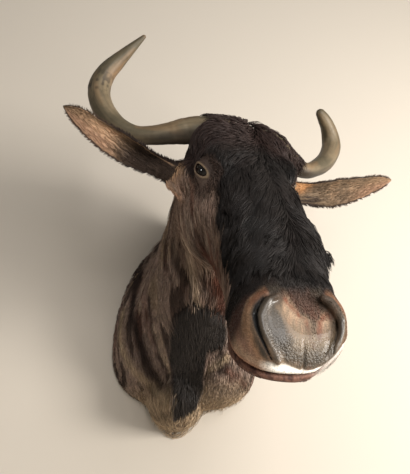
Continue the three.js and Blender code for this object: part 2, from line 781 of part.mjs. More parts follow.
// An ear: a leaf with a cupped front, one closed loop of points at each station
function earRings() {
  const axis = unit(sub(EAR_TIP, EAR_ROOT));
  const facing = unit(sub(EAR_OPENING, scale(axis, dot(EAR_OPENING, axis))));
  const side = cross(axis, facing);
  const half = 7;
  const rings = EAR_SECTIONS.map(({ at, width, depth, cup }) => {
    const centre = along(EAR_ROOT, EAR_TIP, at);
    const point = (angle, wide, deep) =>
      add(centre, add(scale(side, wide * Math.sin(angle)), scale(facing, -deep * Math.cos(angle))));
    const ring = [];
    for (let i = 0; i <= half; i += 1) {
      ring.push(point((Math.PI * (i / half - 0.5)), width / 2, depth));
    }
    for (let i = half - 1; i >= 1; i -= 1) {
      ring.push(point((Math.PI * (i / half - 0.5)), width / 2 - EAR_SKIN * 0.4, (depth - EAR_SKIN) * cup));
    }
    return ring.reverse();
  });
  const bottom = along(EAR_ROOT, EAR_TIP, 0);
  const tip = along(EAR_ROOT, EAR_TIP, 1.012);
  return { rings, start: bottom, end: tip };
}

const earBody = (sign) => placeRings(earRings(), sign);

// The two lids of an eye as rolls of skin along the opening's edge
function lidBody(sign) {
  const across = unit(cross([0, 0, 1], EYE_LOOK));
  const upward = cross(EYE_LOOK, across);
  const arcs = [0, Math.PI].map((startAngle) => {
    const rows = [];
    const count = 6;
    for (let i = 0; i <= count; i += 1) {
      const angle = startAngle + (Math.PI * i) / count;
      const a = LID.halfWidth * Math.cos(angle);
      const b = LID.halfHeight * Math.sin(angle);
      const ahead = Math.sqrt(LID.reach ** 2 - a * a - b * b);
      const p = add(EYE_CENTRE, add(scale(EYE_LOOK, ahead), add(scale(across, a), scale(upward, b))));
      const radius = LID.roll * (0.7 + 0.3 * Math.abs(Math.sin(angle)));
      rows.push({ x: p[0], y: p[1], z: p[2], radius });
    }
    return placeRings(taperedTube(rows, 7, 5, 0), sign);
  });
  return arcs[0].add(arcs[1]);
}

// A nostril's slit, cut inwards from its line
function nostrilBody(sign) {
  const inner = NOSTRIL.map((row) => ({ ...row, x: row.x - NOSTRIL_DEPTH, z: row.z - 2 }));
  const outer = placeRings(taperedTube(NOSTRIL, 5, 6, 0), sign);
  return outer.add(placeRings(taperedTube(inner, 5, 6, 0), sign));
}

// The groove between the lips, a thin ring where the plane of the mouth meets the skin
function lipGroove(across) {
  const middle = fromHead([0, -300, -76]);
  const forward = unit(sub(fromHead(MOUTH_FRONT), fromHead(MOUTH_CORNER)));
  const count = 22;
  const rings = [];
  for (let i = 0; i <= count; i += 1) {
    const angle = mix(-0.62, 0.62, i / count) * Math.PI;
    const spoke = add(scale(forward, Math.cos(angle)), scale(HEAD_LEFT, Math.sin(angle)));
    const p = add(middle, scale(spoke, reachOut(bodyShape, middle, spoke, 0, HEAD_REACH)));
    const deep = LIP_GROOVE * (0.4 + 0.6 * Math.cos((i / count - 0.5) * Math.PI));
    rings.push([
      add(p, scale(spoke, deep)),
      add(p, scale(across, deep * 0.7)),
      add(p, scale(spoke, -deep)),
      add(p, scale(across, -deep * 0.7)),
    ]);
  }
  const centre = (ring) => scale(ring.reduce(add), 1 / ring.length);
  return skinRings(rings, centre(rings[0]), centre(rings[count]));
}

// A glass eye
function eyeBody(sign, radius) {
  const ball = new THREE.SphereGeometry(radius, 14, 10);
  ball.translate(...fromHead([EYE_CENTRE[0] * sign, EYE_CENTRE[1], EYE_CENTRE[2]]));
  return toSolid(ball);
}

// Build the flesh and cut it into its parts
const horns = { right: hornBody(RIGHT_HORN, -1, 0), left: hornBody(LEFT_HORN, 1, 0) };
const eyes = { right: eyeBody(-1, EYE_RADIUS), left: eyeBody(1, EYE_RADIUS) };
const sockets = eyeBody(-1, EYE_RADIUS + MESH_GAP).add(eyeBody(1, EYE_RADIUS + MESH_GAP));

const wholeHead = headBody(0);
const headOffset = headBody(MESH_GAP + 0.15);
const behindCut = halfSpace(THROAT, NECK_CUT, MESH_GAP / 2);
const beforeCut = halfSpace(THROAT, scale(NECK_CUT, -1), MESH_GAP / 2);
const headFront = wholeHead.intersect(beforeCut);

const mouthLine = unit(sub(MOUTH_CORNER, MOUTH_FRONT));
const mouthNormal = headAxis(unit(cross([1, 0, 0], mouthLine)));
const mouthPoint = fromHead(MOUTH_FRONT);
const jawPoint = fromHead([0, JAW_BACK, 0]);
const muzzlePoint = fromHead([0, MUZZLE_BACK, 0]);
const nose = scale(HEAD_BACK, -1);
const down = scale(mouthNormal, -1);
const half = MESH_GAP / 2;
const jawSpace = halfSpace(mouthPoint, down, -half).intersect(halfSpace(jawPoint, nose, -half));
const groove = lipGroove(mouthNormal);
const nostrils = nostrilBody(1).add(nostrilBody(-1));

const jaw = largest(
  headFront
    .intersect(halfSpace(mouthPoint, down, half))
    .intersect(halfSpace(jawPoint, nose, half))
    .subtract(groove),
);
const upper = headFront.subtract(jawSpace);
const muzzle = largest(
  upper.intersect(halfSpace(muzzlePoint, nose, half)).subtract(groove).subtract(nostrils),
);
const muzzleOffset = headOffset.intersect(halfSpace(muzzlePoint, nose, -MESH_GAP));
const thickHorns = hornBody(RIGHT_HORN, -1, HORN_CLEARANCE).add(hornBody(LEFT_HORN, 1, HORN_CLEARANCE));

const random = seeded(HAIR_SEED);
const headHair = fuse([...faceLocks(random), ...crownLocks(random)])
  .intersect(beforeCut)
  .subtract(muzzleOffset)
  .subtract(thickHorns);
const neckHair = fuse([...beardLocks(random), ...cheekLocks(random), ...maneLocks(random)])
  .intersect(behindCut)
  .intersect(halfSpace([0, -WALL_GAP, 0], [0, -1, 0], 0));
const cranium = largest(
  upper
    .intersect(halfSpace(muzzlePoint, HEAD_BACK, half))
    .add(lidBody(1))
    .add(lidBody(-1))
    .add(headHair)
    .subtract(sockets),
);

const board = boardBody(-MESH_GAP, BOARD_THICKNESS - MESH_GAP, 0);
const recess = boardBody(0, BOARD_THICKNESS, -5);
const neck = largest(neckBody().intersect(behindCut).subtract(recess).add(neckHair));

const hornCut = (solid) => largest(solid.subtract(headOffset));
const parts = [
  ['back_board', board, BOARD],
  ['neck', neck, COAT],
  ['head', cranium, FACE],
  ['muzzle', muzzle, MUZZLE],
  ['lower_jaw', jaw, MUZZLE],
  ['ear_right', hornCut(earBody(-1)), EAR],
  ['ear_left', hornCut(earBody(1)), EAR],
  ['eye_right', eyes.right, EYE],
  ['eye_left', eyes.left, EYE],
  ['horn_right', hornCut(horns.right), HORN],
  ['horn_left', hornCut(horns.left), HORN],
];

const wildebeest = new THREE.Group();
wildebeest.name = 'wildebeest_mount';
for (const [name, solid, finish] of parts) {
  const material = new THREE.MeshStandardMaterial({ ...finish, metalness: 0 });
  const mesh = new THREE.Mesh(toGeometry(solid), material);
  mesh.name = name;
  wildebeest.add(mesh);
}

export default wildebeest;
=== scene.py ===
import bpy
import math
import numpy as np
from mathutils import Matrix, Vector


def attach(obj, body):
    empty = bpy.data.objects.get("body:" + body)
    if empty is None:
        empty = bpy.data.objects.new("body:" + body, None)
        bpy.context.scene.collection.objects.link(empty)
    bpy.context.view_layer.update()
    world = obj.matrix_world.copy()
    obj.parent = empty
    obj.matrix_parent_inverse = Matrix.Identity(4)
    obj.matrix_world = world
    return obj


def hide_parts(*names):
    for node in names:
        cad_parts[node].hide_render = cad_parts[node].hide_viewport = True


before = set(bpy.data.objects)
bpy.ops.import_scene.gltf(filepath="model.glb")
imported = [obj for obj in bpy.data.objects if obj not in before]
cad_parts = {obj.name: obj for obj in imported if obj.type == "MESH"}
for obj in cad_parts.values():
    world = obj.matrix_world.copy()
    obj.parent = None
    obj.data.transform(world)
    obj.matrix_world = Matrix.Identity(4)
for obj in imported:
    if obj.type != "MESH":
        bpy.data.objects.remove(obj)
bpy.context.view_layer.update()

# Lengths are in millimetres in the frame of the CAD part, with the wall at y = 0 and +Z up, down
# to the stage at the end, which is in metres.
# The head has its own frame: X to the animal's left, Y from nose to poll, Z from jaw to
# forehead, origin half way between the eyes.

# ---------------------------------------------------------------- small helpers


def unit(v):
    v = np.asarray(v, float)
    return v / np.maximum(np.linalg.norm(v, axis=-1, keepdims=True), 1e-9)


def dot(a, b):
    return (a * b).sum(-1)


def smooth(a, b, x):
    t = np.clip((x - a) / (b - a), 0, 1)
    return t * t * (3 - 2 * t)


def mix(a, b, t):
    return a + (b - a) * t


def bell(x, width):
    """1 where x is 0, falling to nothing within about two widths."""
    return np.exp(-((x / width) ** 2))


def look_up(x, rows, column=1):
    """Reads a column of a table whose first column is x."""
    return np.interp(x, [row[0] for row in rows], [row[column] for row in rows])


def spread(place, values):
    """Reads values that are spread evenly from place 0 to 1."""
    return np.interp(place, np.linspace(0, 1, len(values)), values)


def join(a, b, blend):
    h = np.maximum(blend - np.abs(a - b), 0) / blend
    return np.minimum(a, b) - h * h * blend / 4


def carve(a, b, blend):
    return -join(-a, b, blend)


def limit(a, b, blend):
    return -join(-a, -b, blend)


EYE_MIDDLE = np.array([67.6, -430, 49.5])
HEAD = np.array(
    Matrix.Rotation(math.radians(12.7), 3, "Z")
    @ Matrix.Rotation(math.radians(58.2), 3, "X")
    @ Matrix.Rotation(math.radians(3.4), 3, "Y")
)


def to_head(p):
    return (p - EYE_MIDDLE) @ HEAD


def from_head(p):
    return EYE_MIDDLE + np.asarray(p, float) @ HEAD.T


def head_axis(v):
    return np.asarray(v, float) @ HEAD.T


# ---------------------------------------------------------------- the animal's form

# rows from nose to poll: place, top, bottom, half width, height of the widest part, and the powers
# of the upper and lower curve; the neck's go from the wall forward and end with its middle across
HEAD_SECTIONS = [
    (-372, -18, -92, 67, -54, 2.6, 2.6),
    (-330, 0, -100, 74, -52, 2.7, 2.6),
    (-285, 12, -103, 72, -50, 2.5, 2.4),
    (-235, 22, -105, 66, -44, 2.3, 2.2),
    (-175, 33, -112, 63, -42, 2.3, 2.1),
    (-110, 43, -127, 65, -40, 2.3, 2.0),
    (-45, 48, -148, 70, -36, 2.4, 1.9),
    (20, 50, -160, 76, -34, 2.5, 1.9),
    (75, 42, -150, 74, -30, 2.4, 2.0),
    (125, 20, -134, 60, -34, 2.2, 2.0),
]
NECK_SECTIONS = [
    (0, 116, -268, 158, -138, 2.0, 2.6, 0),
    (60, 150, -258, 142, -122, 1.3, 2.4, 5),
    (130, 178, -218, 112, -80, 1.3, 2.2, 12),
    (200, 194, -150, 84, -20, 1.7, 2.1, 20),
    (260, 200, -84, 69, 40, 2.0, 2.0, 27),
    (330, 192, -30, 66, 80, 2.0, 2.0, 36),
    (400, 166, 20, 60, 96, 2.0, 2.0, 44),
]
# centre, radii and how softly each ellipsoid joins; they are on both sides of the head
HEAD_SWELLINGS = [
    ((58, 10, 6), (24, 34, 26), 14),
    ((54, 6, 28), (22, 34, 15), 16),
    ((62, -40, -36), (15, 62, 16), 20),
    ((44, 6, -92), (30, 70, 56), 30),
    ((40, 90, 14), (54, 38, 40), 24),
    ((92, 48, -44), (26, 26, 25), 22),
    ((50, -312, -16), (23, 32, 26), 12),
    ((34, -330, -52), (40, 32, 20), 14),
    ((20, -316, -86), (42, 38, 20), 14),
]
FACE_SWELLING = ((47, -104, 12), (25, 92, 33), 14)
BRISKET_LOBES = (((-19, -16, -244), (62, 112, 70), 14), ((62, -50, -196), (78, 116, 72), 22))
EYE_CENTRE = np.array([70.0, 6, -2])
EYE_LOOK = unit([0.84, -0.5, 0.2])
EYE_RADIUS = 17
BROW_RADIUS = 24


def section_table(rows):
    """The rows read every half millimetre by smooth cubic steps."""
    rows = np.array(rows, float)
    at = np.arange(rows[0, 0], rows[-1, 0] + 0.5, 0.5)
    i = np.clip(np.searchsorted(rows[:, 0], at, side="right") - 1, 0, len(rows) - 2)
    a, b = rows[i], rows[i + 1]
    before, after = rows[np.maximum(i - 1, 0)], rows[np.minimum(i + 2, len(rows) - 1)]
    span = (b[:, 0] - a[:, 0])[:, None]
    t = ((at - a[:, 0])[:, None] / span).clip(0, 1)
    slope_a = (b - before) / (b[:, :1] - before[:, :1]) * span
    slope_b = (after - a) / (after[:, :1] - a[:, :1]) * span
    rise = b - a
    out = a + slope_a * t + (3 * rise - 2 * slope_a - slope_b) * t**2
    out += (slope_a + slope_b - 2 * rise) * t**3
    return at, out


HEAD_TABLE = section_table(HEAD_SECTIONS)
NECK_TABLE = section_table(NECK_SECTIONS)


def section_at(table, at):
    places, values = table
    return [np.interp(at, places, values[:, k]) for k in range(1, values.shape[1])]


def section_distance(across, up, top, bottom, half, widest, upper, lower):
    rise = up - widest
    above = rise > 0
    reach = np.where(above, top - widest, widest - bottom)
    power = np.where(above, upper, lower)
    share = np.abs(across / half) ** power + np.abs(rise / reach) ** power
    ratio = share ** (1 / power)
    radius = np.hypot(across, rise)
    return np.where(ratio < 0.05, -np.minimum(half, reach), radius - radius / np.maximum(ratio, 0.05))


def ellipsoid(p, centre, radii):
    d = p - np.array(centre, float)
    r = np.array(radii, float)
    k = np.sqrt(((d / r) ** 2).sum(-1))
    g = np.sqrt(((d / r**2) ** 2).sum(-1))
    return np.where(g < 1e-6, -min(radii), k * (k - 1) / np.maximum(g, 1e-6))


def ball(p, centre, radius=0):
    return np.sqrt(((p - centre) ** 2).sum(-1)) - radius


def mirrored(p):
    return np.stack([np.abs(p[:, 0]), p[:, 1], p[:, 2]], 1)


def head_field(p, hair):
    """The head as in the CAD part; with hair it has the swelling of the face's coat."""
    d = section_distance(p[:, 0], p[:, 2], *section_at(HEAD_TABLE, p[:, 1]))
    m = mirrored(p)
    for centre, radii, blend in HEAD_SWELLINGS + ([FACE_SWELLING] if hair else []):
        d = join(d, ellipsoid(m, centre, radii), blend)
    d = join(d, ball(m, EYE_CENTRE - 11 * EYE_LOOK, BROW_RADIUS), 10)
    d = carve(d, ball(m, EYE_CENTRE + 38 * EYE_LOOK, BROW_RADIUS), 8)
    return limit(limit(d, 0.8 * muzzle_front(p), 26), p[:, 1] - 150, 60)


def neck_field(p):
    *section, centre = section_at(NECK_TABLE, -p[:, 1])
    d = section_distance(p[:, 0] - centre, p[:, 2], *section)
    for centre, radii, blend in BRISKET_LOBES:
        d = join(d, ellipsoid(p, centre, radii), blend)
    return limit(d, -400 - p[:, 1], 60)


def body_field(p, hair=True):
    return join(neck_field(p), head_field(to_head(p), hair), 46)


def muzzle_front(p):
    over_mouth = p[:, 2] - MOUTH_FRONT[2]
    lean = np.where(over_mouth > 0, 0.0165, 0.016) * over_mouth**2
    side = 26 * (np.abs(p[:, 0]) / 72) ** 3.2
    return NOSE_END + lean + side - p[:, 1]


# ---------------------------------------------------------------- finer forms of the skin

NOSE_END = -362
MOUTH_FRONT = np.array([0.0, -360, -52])
MOUTH_CORNER = np.array([0.0, -236, -76])
MOUTH_LINE = unit(MOUTH_CORNER - MOUTH_FRONT)
MOUTH_UP = unit(np.cross([1, 0, 0], MOUTH_LINE))
EYE_OPENING = (13.6, 7.2)
LID_THICK = 3.2
EYE_ACROSS = unit(np.cross([0, 0, 1], EYE_LOOK))
EYE_UP = np.cross(EYE_LOOK, EYE_ACROSS)
NOSTRIL = np.array([
    (38.0, -289, 13), (47, -292, 10), (55, -301, 4), (60, -311, -2),
    (59, -323, -9), (55, -333, -15), (49, -343, -22), (41, -354, -32),
])
NOSTRIL_WIDTH = (0.8, 1.6, 2.7, 3.2, 2.7, 2.0, 1.4, 0.8)
LEFT_FLANK = np.array([(45.0, -150, 40), (45, -195, 24), (44, -240, 10), (48, -285, 3)])
CHIN_CUT = (unit([0.6266, -0.0591, -0.7771]), 329.1)
MUZZLE_ROLL = 0.12
WALL_GAP = 1
RIM = 12
BOARD_FRONT = 18.3


def eye_frame(m):
    """Across, up and ahead in the opening of the left eye, for points of the mirrored head."""
    d = m - EYE_CENTRE
    return dot(d, EYE_ACROSS), dot(d, EYE_UP), dot(d, EYE_LOOK)


def rolled(h):
    """Head coordinates turned a little about the nose, as the muzzle of this mount sits."""
    share = MUZZLE_ROLL * (1 - smooth(-260, -200, h[:, 1]))
    return np.stack([h[:, 0] + share * (h[:, 2] + 45), h[:, 1], h[:, 2] - share * h[:, 0]], 1)


def polyline(p, line):
    """Distance to a line of points, and how far along it the nearest place is."""
    best = np.full(len(p), 1e9)
    place = np.zeros(len(p))
    count = len(line) - 1
    for i in range(count):
        a, b = line[i], line[i + 1]
        t = (dot(p - a, b - a) / dot(b - a, b - a)).clip(0, 1)
        d = np.sqrt(((p - a - t[:, None] * (b - a)) ** 2).sum(-1))
        near = d < best
        best = np.where(near, d, best)
        place = np.where(near, (i + t) / count, place)
    return best, place


def skin_field(p):
    """The skin under the coat, with its lids, nostrils, lips and folds."""
    h = to_head(p)
    m = mirrored(h)
    d = body_field(p, False) + coat_depth(p, h)
    # the lids lie on the eye, with a crease behind them, and end at the opening
    across, up, ahead = eye_frame(m)
    ring = np.hypot(across / EYE_OPENING[0], up / EYE_OPENING[1])
    from_eye = ball(m, EYE_CENTRE, EYE_RADIUS)
    lids = join(d, from_eye - LID_THICK, 5)
    crease = 1.3 * bell(ring - 1.72, 0.16) + 0.6 * bell(ring - 2.15, 0.12)
    lids = lids + crease * smooth(0, 6, ahead)
    lids = carve(lids, np.maximum((ring - 1) * EYE_OPENING[1], -ahead), 1.4)
    lids = carve(lids, from_eye - 0.3, 0.5)
    d = np.where(from_eye < 40, lids, d)
    # nostrils: a crescent slit with a thin rim on its inner side
    near_nose = h[:, 1] < -225
    r = rolled(h)
    mr = mirrored(r)
    slit, place = polyline(mr, NOSTRIL)
    inner, _ = polyline(mr, NOSTRIL + np.array([-8, 5, -1]))
    width = spread(place, NOSTRIL_WIDTH)
    rim, _ = polyline(mr, NOSTRIL + np.array([-7, -4, 0]))
    wing, _ = polyline(mr, NOSTRIL + np.array([6, 4, -4]))
    nose = join(d, rim - 3.4, 6)
    nose = nose - 1.8 * bell(wing, 6)
    nose = carve(nose, slit - width, 1.5)
    nose = carve(nose, inner - width * 1.3, 3)
    # the line of the mouth, the rolls of both lips and the groove under the nose
    off = above_mouth(r)
    back = dot(r - MOUTH_FRONT, MOUTH_LINE)
    fade = 1 - smooth(104, 130, back)
    nose = nose + 5.0 * fade * bell(off, 1.9) - 1.4 * fade * bell(off - 7, 4)
    nose = nose - 3.0 * fade * bell(off + 9, 6)
    pad_edge = pad_outline(r)
    nose = nose - 0.9 * smooth(5, -4, pad_edge) + 0.25 * bell(pad_edge, 3)
    groove = smooth(-46, -40, r[:, 2]) * (1 - smooth(-24, -12, r[:, 2]))
    nose = nose + 2.2 * groove * bell(r[:, 0], 1.8)
    # the lower lip ends higher on the animal's left, and the side of the nose is fuller there
    cut = dot(p, CHIN_CUT[0]) - CHIN_CUT[1]
    nose = limit(nose, cut - 4 * smooth(-300, -240, h[:, 1]), 18)
    d = np.where(near_nose, nose, d)
    flank, _ = polyline(h, LEFT_FLANK)
    d = d - 6.5 * bell(flank, 24)
    # the brisket's crease between its two lobes, and folds down the neck
    crease, _ = polyline(p, BRISKET_CREASE)
    d = d + 6 * bell(crease, 7)
    for line, depth, width in NECK_FOLDS:
        near, place = polyline(p, line)
        d = d + depth * np.sin(np.pi * place) * bell(near, width)
    # the skin's back is hollow where the board sits
    at_wall = p * (1, 0, 1) - (0, WALL_GAP, 0)
    recess = np.maximum(body_field(at_wall, False) + RIM, -BOARD_FRONT - p[:, 1])
    return np.maximum(np.maximum(d, p[:, 1] + WALL_GAP), -recess)


# the upper and lower edge of the nose's bare pad, and how much the mouth rises, by the place across
PAD_TOP = (
    (-90, 2), (-52, 6), (-44, 10), (-33, 9), (-28, 5), (-25, -2), (-19, -8), (-8, -13), (6, -15), (35, -16),
    (46, -14), (50, -5), (56, 3), (90, 0),
)
PAD_BOTTOM = (
    (-60, -20), (-41, -28), (-28, -31), (-16, -37), (-2, -41), (14, -42), (32, -40), (47, -37), (60, -28),
)
MOUTH_RISE = ((20, 0), (32, 8), (45, 16), (60, 24))


def above_mouth(r):
    """Height over the line of the mouth, which rises on the animal's left."""
    rise = look_up(r[:, 0], MOUTH_RISE) * smooth(-250, -300, r[:, 1])
    return dot(r - MOUTH_FRONT, MOUTH_UP) - rise


def past_nostril(m):
    """How far places of the mirrored muzzle lie to the outer side of the nostril."""
    return m[:, 0] - np.interp(-m[:, 1], -NOSTRIL[:, 1], NOSTRIL[:, 0])


def pad_outline(r):
    """Distance to the edge of the nose's bare pad, negative inside it."""
    top = look_up(r[:, 0], PAD_TOP)
    bottom = look_up(r[:, 0], PAD_BOTTOM)
    side = past_nostril(mirrored(r)) + 1
    return np.maximum(np.maximum(r[:, 2] - top, bottom - r[:, 2]), np.maximum(side, r[:, 1] + 290))


BRISKET_CREASE = np.array([(30.0, -185, -190), (18, -150, -226), (22, -95, -262), (30, -40, -280)])
NECK_FOLDS = [
    (np.array([(-60.0, -150, 60), (-85, -120, -20), (-100, -95, -110), (-92, -80, -190)]), 3.0, 9),
    (np.array([(-45.0, -215, 60), (-62, -180, -20), (-66, -160, -90), (-58, -140, -160)]), 2.4, 8),
    (np.array([(95.0, -150, 60), (112, -110, -20), (125, -90, -100), (118, -80, -170)]), 2.8, 9),
]


def coat_depth(p, h):
    """How far the skin lies under the coat's outline."""
    muzzle = 1 - smooth(-262, -236, h[:, 1] + 0.12 * h[:, 2])
    neck = smooth(-330, -250, p[:, 1])
    m = mirrored(h)
    lid = 1 - smooth(18, 30, ball(m, EYE_CENTRE))
    depth = mix(3.0, 5.0, neck)
    return depth * (1 - muzzle) * (1 - 0.9 * lid) + 0.15


# ---------------------------------------------------------------- meshing the skin


def spaced(low, high, fine_spans, fine, coarse):
    """Grid planes between two places, closer together inside some spans."""
    planes = [low]
    while planes[-1] < high:
        inside = any(a <= planes[-1] < b for a, b in fine_spans)
        planes.append(planes[-1] + (fine if inside else coarse))
    return np.array(planes)


NEAR_SURFACE = 26
PLANES_SKIPPED = 5


def grid_field(field, axes):
    """The field on a grid: everywhere on a few planes, and in full only near the surface."""
    counts = [len(a) for a in axes]
    picks = [np.unique(np.append(np.arange(0, n, PLANES_SKIPPED), n - 1)) for n in counts]
    coarse_axes = [a[k] for a, k in zip(axes, picks)]
    grid = np.stack(np.meshgrid(*coarse_axes, indexing="ij"), -1).reshape(-1, 3)
    values = field(grid).reshape([len(a) for a in coarse_axes])
    for k, (axis, coarse) in enumerate(zip(axes, coarse_axes)):
        i = np.clip(np.searchsorted(coarse, axis, side="right") - 1, 0, len(coarse) - 2)
        t = (axis - coarse[i]) / (coarse[i + 1] - coarse[i])
        shape = [1, 1, 1]
        shape[k] = -1
        t = t.reshape(shape)
        values = np.take(values, i, k) * (1 - t) + np.take(values, i + 1, k) * t
    near = np.argwhere(np.abs(values) < NEAR_SURFACE)
    places = np.stack([axes[k][near[:, k]] for k in range(3)], 1)
    exact = np.concatenate([field(chunk) for chunk in np.array_split(places, 24)])
    values[near[:, 0], near[:, 1], near[:, 2]] = exact
    return values


def surface_mesh(v, axes):
    """A closed mesh of the zero surface of values on a grid, one point in each cell that it crosses."""
    inside = v < 0
    cells = tuple(n - 1 for n in v.shape)
    corners = [(i, j, k) for i in (0, 1) for j in (0, 1) for k in (0, 1)]
    mixed = np.zeros(cells, bool)
    view = {c: tuple(slice(o, n - 1 + o) for o, n in zip(c, v.shape)) for c in corners}
    first = inside[view[(0, 0, 0)]]
    for c in corners[1:]:
        mixed |= inside[view[c]] != first
    where = np.argwhere(mixed)
    number = np.full(cells, -1)
    number[mixed] = np.arange(len(where))
    total = np.zeros((len(where), 3))
    hits = np.zeros(len(where))
    for axis in range(3):
        for c in corners:
            if c[axis]:
                continue
            e = list(c)
            e[axis] = 1
            a = where + np.array(c)
            b = where + np.array(e)
            va, vb = v[tuple(a.T)], v[tuple(b.T)]
            crossed = (va < 0) != (vb < 0)
            t = np.where(crossed, va / np.where(crossed, va - vb, 1), 0)
            pa = np.stack([axes[k][a[:, k]] for k in range(3)], 1)
            pb = np.stack([axes[k][b[:, k]] for k in range(3)], 1)
            total += np.where(crossed[:, None], pa + t[:, None] * (pb - pa), 0)
            hits += crossed
    points = total / hits[:, None]
    quads = []
    for axis in range(3):
        u, w = (axis + 1) % 3, (axis + 2) % 3
        low = [slice(None)] * 3
        high = [slice(None)] * 3
        low[axis], high[axis] = slice(0, -1), slice(1, None)
        crossed = np.argwhere(inside[tuple(low)] != inside[tuple(high)])
        ok = (crossed[:, u] > 0) & (crossed[:, w] > 0)
        ok &= (crossed[:, u] < cells[u]) & (crossed[:, w] < cells[w])
        crossed = crossed[ok]
        step_u, step_w = np.zeros(3, int), np.zeros(3, int)
        step_u[u], step_w[w] = 1, 1
        ring = [crossed - step_u - step_w, crossed - step_w, crossed, crossed - step_u]
        quad = np.stack([number[tuple(r.T)] for r in ring], 1)
        out = inside[tuple(crossed.T)]
        quad[~out] = quad[~out][:, ::-1]
        quads.append(quad)
    return points, np.concatenate(quads)


def slope(field, p, step=0.6):
    g = np.zeros_like(p)
    for k in range(3):
        e = np.zeros(3)
        e[k] = step
        g[:, k] = (field(p + e) - field(p - e)) / (2 * step)
    return g


def settle(field, p, rounds=2, most=1.5):
    """Moves places onto the field's surface, each round by no more than most."""
    for _ in range(rounds):
        g = slope(field, p)
        move = field(p)[:, None] * g / np.maximum(dot(g, g), 0.2)[:, None]
        size = np.linalg.norm(move, axis=1, keepdims=True)
        p = p - move * np.minimum(1, most / np.maximum(size, 1e-9))
    return p


# ---------------------------------------------------------------- making Blender objects


def make_mesh(name, points, faces, replaced=(), ends=None):
    """A mesh that rides on root: points in mm, faces of one size, and triangles that close its ends."""
    groups = [np.asarray(group, np.int32) for group in (faces, ends) if group is not None]
    corners = np.concatenate([group.ravel() for group in groups])
    sizes = np.concatenate([np.full(len(group), group.shape[1]) for group in groups])
    mesh = bpy.data.meshes.new(name)
    mesh.vertices.add(len(points))
    mesh.vertices.foreach_set("co", (np.asarray(points) * 0.001).astype(np.float32).ravel())
    mesh.loops.add(len(corners))
    mesh.loops.foreach_set("vertex_index", corners)
    mesh.polygons.add(len(sizes))
    mesh.polygons.foreach_set("loop_start", (np.cumsum(sizes) - sizes).astype(np.int32))
    mesh.polygons.foreach_set("use_smooth", np.ones(len(sizes), bool))
    mesh.update(calc_edges=True)
    obj = bpy.data.objects.new(name, mesh)
    bpy.context.scene.collection.objects.link(obj)
    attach(obj, "root")
    if replaced:
        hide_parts(*replaced)
    return obj


def paint(obj, name, values):
    """A colour for each point, in linear light."""
    mesh = obj.data
    values = np.asarray(values, np.float32)
    rgba = np.ones((len(values), 4), np.float32)
    rgba[:, :3] = values[:, :3]
    mesh.color_attributes.new(name, "FLOAT_COLOR", "POINT").data.foreach_set("color", rgba.ravel())


def new_material(name, **values):
    """A material, and a way to add nodes to it; values go on the shader's own sockets."""
    made = bpy.data.materials.new(name)
    made.use_nodes = True
    nodes, links = made.node_tree.nodes, made.node_tree.links

    def node(kind, links_in=(), **settings):
        new = nodes.new("ShaderNode" + kind)
        for socket, value in settings.items():
            new.inputs[socket.replace("_", " ")].default_value = value
        for socket, source in links_in:
            links.new(source, new.inputs[socket])
        return new

    shader = nodes["Principled BSDF"]
    for socket, value in values.items():
        shader.inputs[socket.replace("_", " ")].default_value = value
    return made, node, lambda socket, source: links.new(source, shader.inputs[socket])


def material(name, colour, roughness, bumps=(), coat=0.0, specular=0.5, share=None):
    """A principled surface whose colour is the painted one times noise, with bumps.

    bumps holds (kind, scale, strength, depth in metres), colour is (low, high, scale of the noise)
    and share names a painted value that the bumps are strong by."""
    made, node, to_shader = new_material(
        name, Roughness=roughness, Coat_Weight=coat, Specular_IOR_Level=specular
    )
    low, high, scale = colour
    place = node("TexCoord").outputs["Object"]
    painted = node("Attribute")
    painted.attribute_name = "coat"
    grain = node("TexNoise", [("Vector", place)], Scale=scale, Detail=4)
    factor = node("MapRange", [("Value", grain.outputs["Fac"])], To_Min=low, To_Max=high)
    product = node("VectorMath")
    product.operation = "SCALE"
    made.node_tree.links.new(painted.outputs["Color"], product.inputs[0])
    made.node_tree.links.new(factor.outputs["Result"], product.inputs["Scale"])
    to_shader("Base Color", product.outputs["Vector"])
    if share:
        shared = node("Attribute")
        shared.attribute_name = share
    normal = None
    for kind, scale, strength, depth in bumps:
        texture = node("TexVoronoi" if kind == "cells" else "TexNoise", [("Vector", place)], Scale=scale)
        height = texture.outputs["Distance" if kind == "cells" else "Fac"]
        bump = node("Bump", [("Height", height)], Strength=strength, Distance=depth)
        if share:
            amount = node("Math")
            amount.operation = "MULTIPLY"
            amount.inputs[1].default_value = strength
            made.node_tree.links.new(shared.outputs["Fac"], amount.inputs[0])
            made.node_tree.links.new(amount.outputs["Value"], bump.inputs["Strength"])
        if normal:
            made.node_tree.links.new(normal, bump.inputs["Normal"])
        normal = bump.outputs["Normal"]
    if normal:
        to_shader("Normal", normal)
    return made


# ---------------------------------------------------------------- colours of skin and coat


def hashed(i, seed):
    """A fixed number from 0 to 1 for each whole-numbered place."""
    n = i[:, 0] * 73856093 ^ i[:, 1] * 19349663 ^ i[:, 2] * 83492791 ^ seed * 2654435
    n = (n ^ (n >> 13)) * 1274126177
    return ((n ^ (n >> 16)) & 0xFFFFFF) / float(0xFFFFFF)


def noise(p, size, seed=1):
    """Smooth noise from 0 to 1 that changes over about the given length along each axis."""
    q = p / np.asarray(size, float)
    base = np.floor(q).astype(np.int64)
    t = q - base
    t = t * t * (3 - 2 * t)
    out = np.zeros(len(p))
    for k in range(8):
        corner = np.array([(k >> a) & 1 for a in range(3)])
        weight = np.prod(np.where(corner, t, 1 - t), axis=1)
        out += weight * hashed(base + corner, seed)
    return out


def rgb(r, g, b):
    """Linear light from a colour as seen on a screen, 0 to 255."""
    v = np.array([r, g, b]) / 255
    return np.where(v < 0.04045, v / 12.92, ((v + 0.055) / 1.055) ** 2.4)


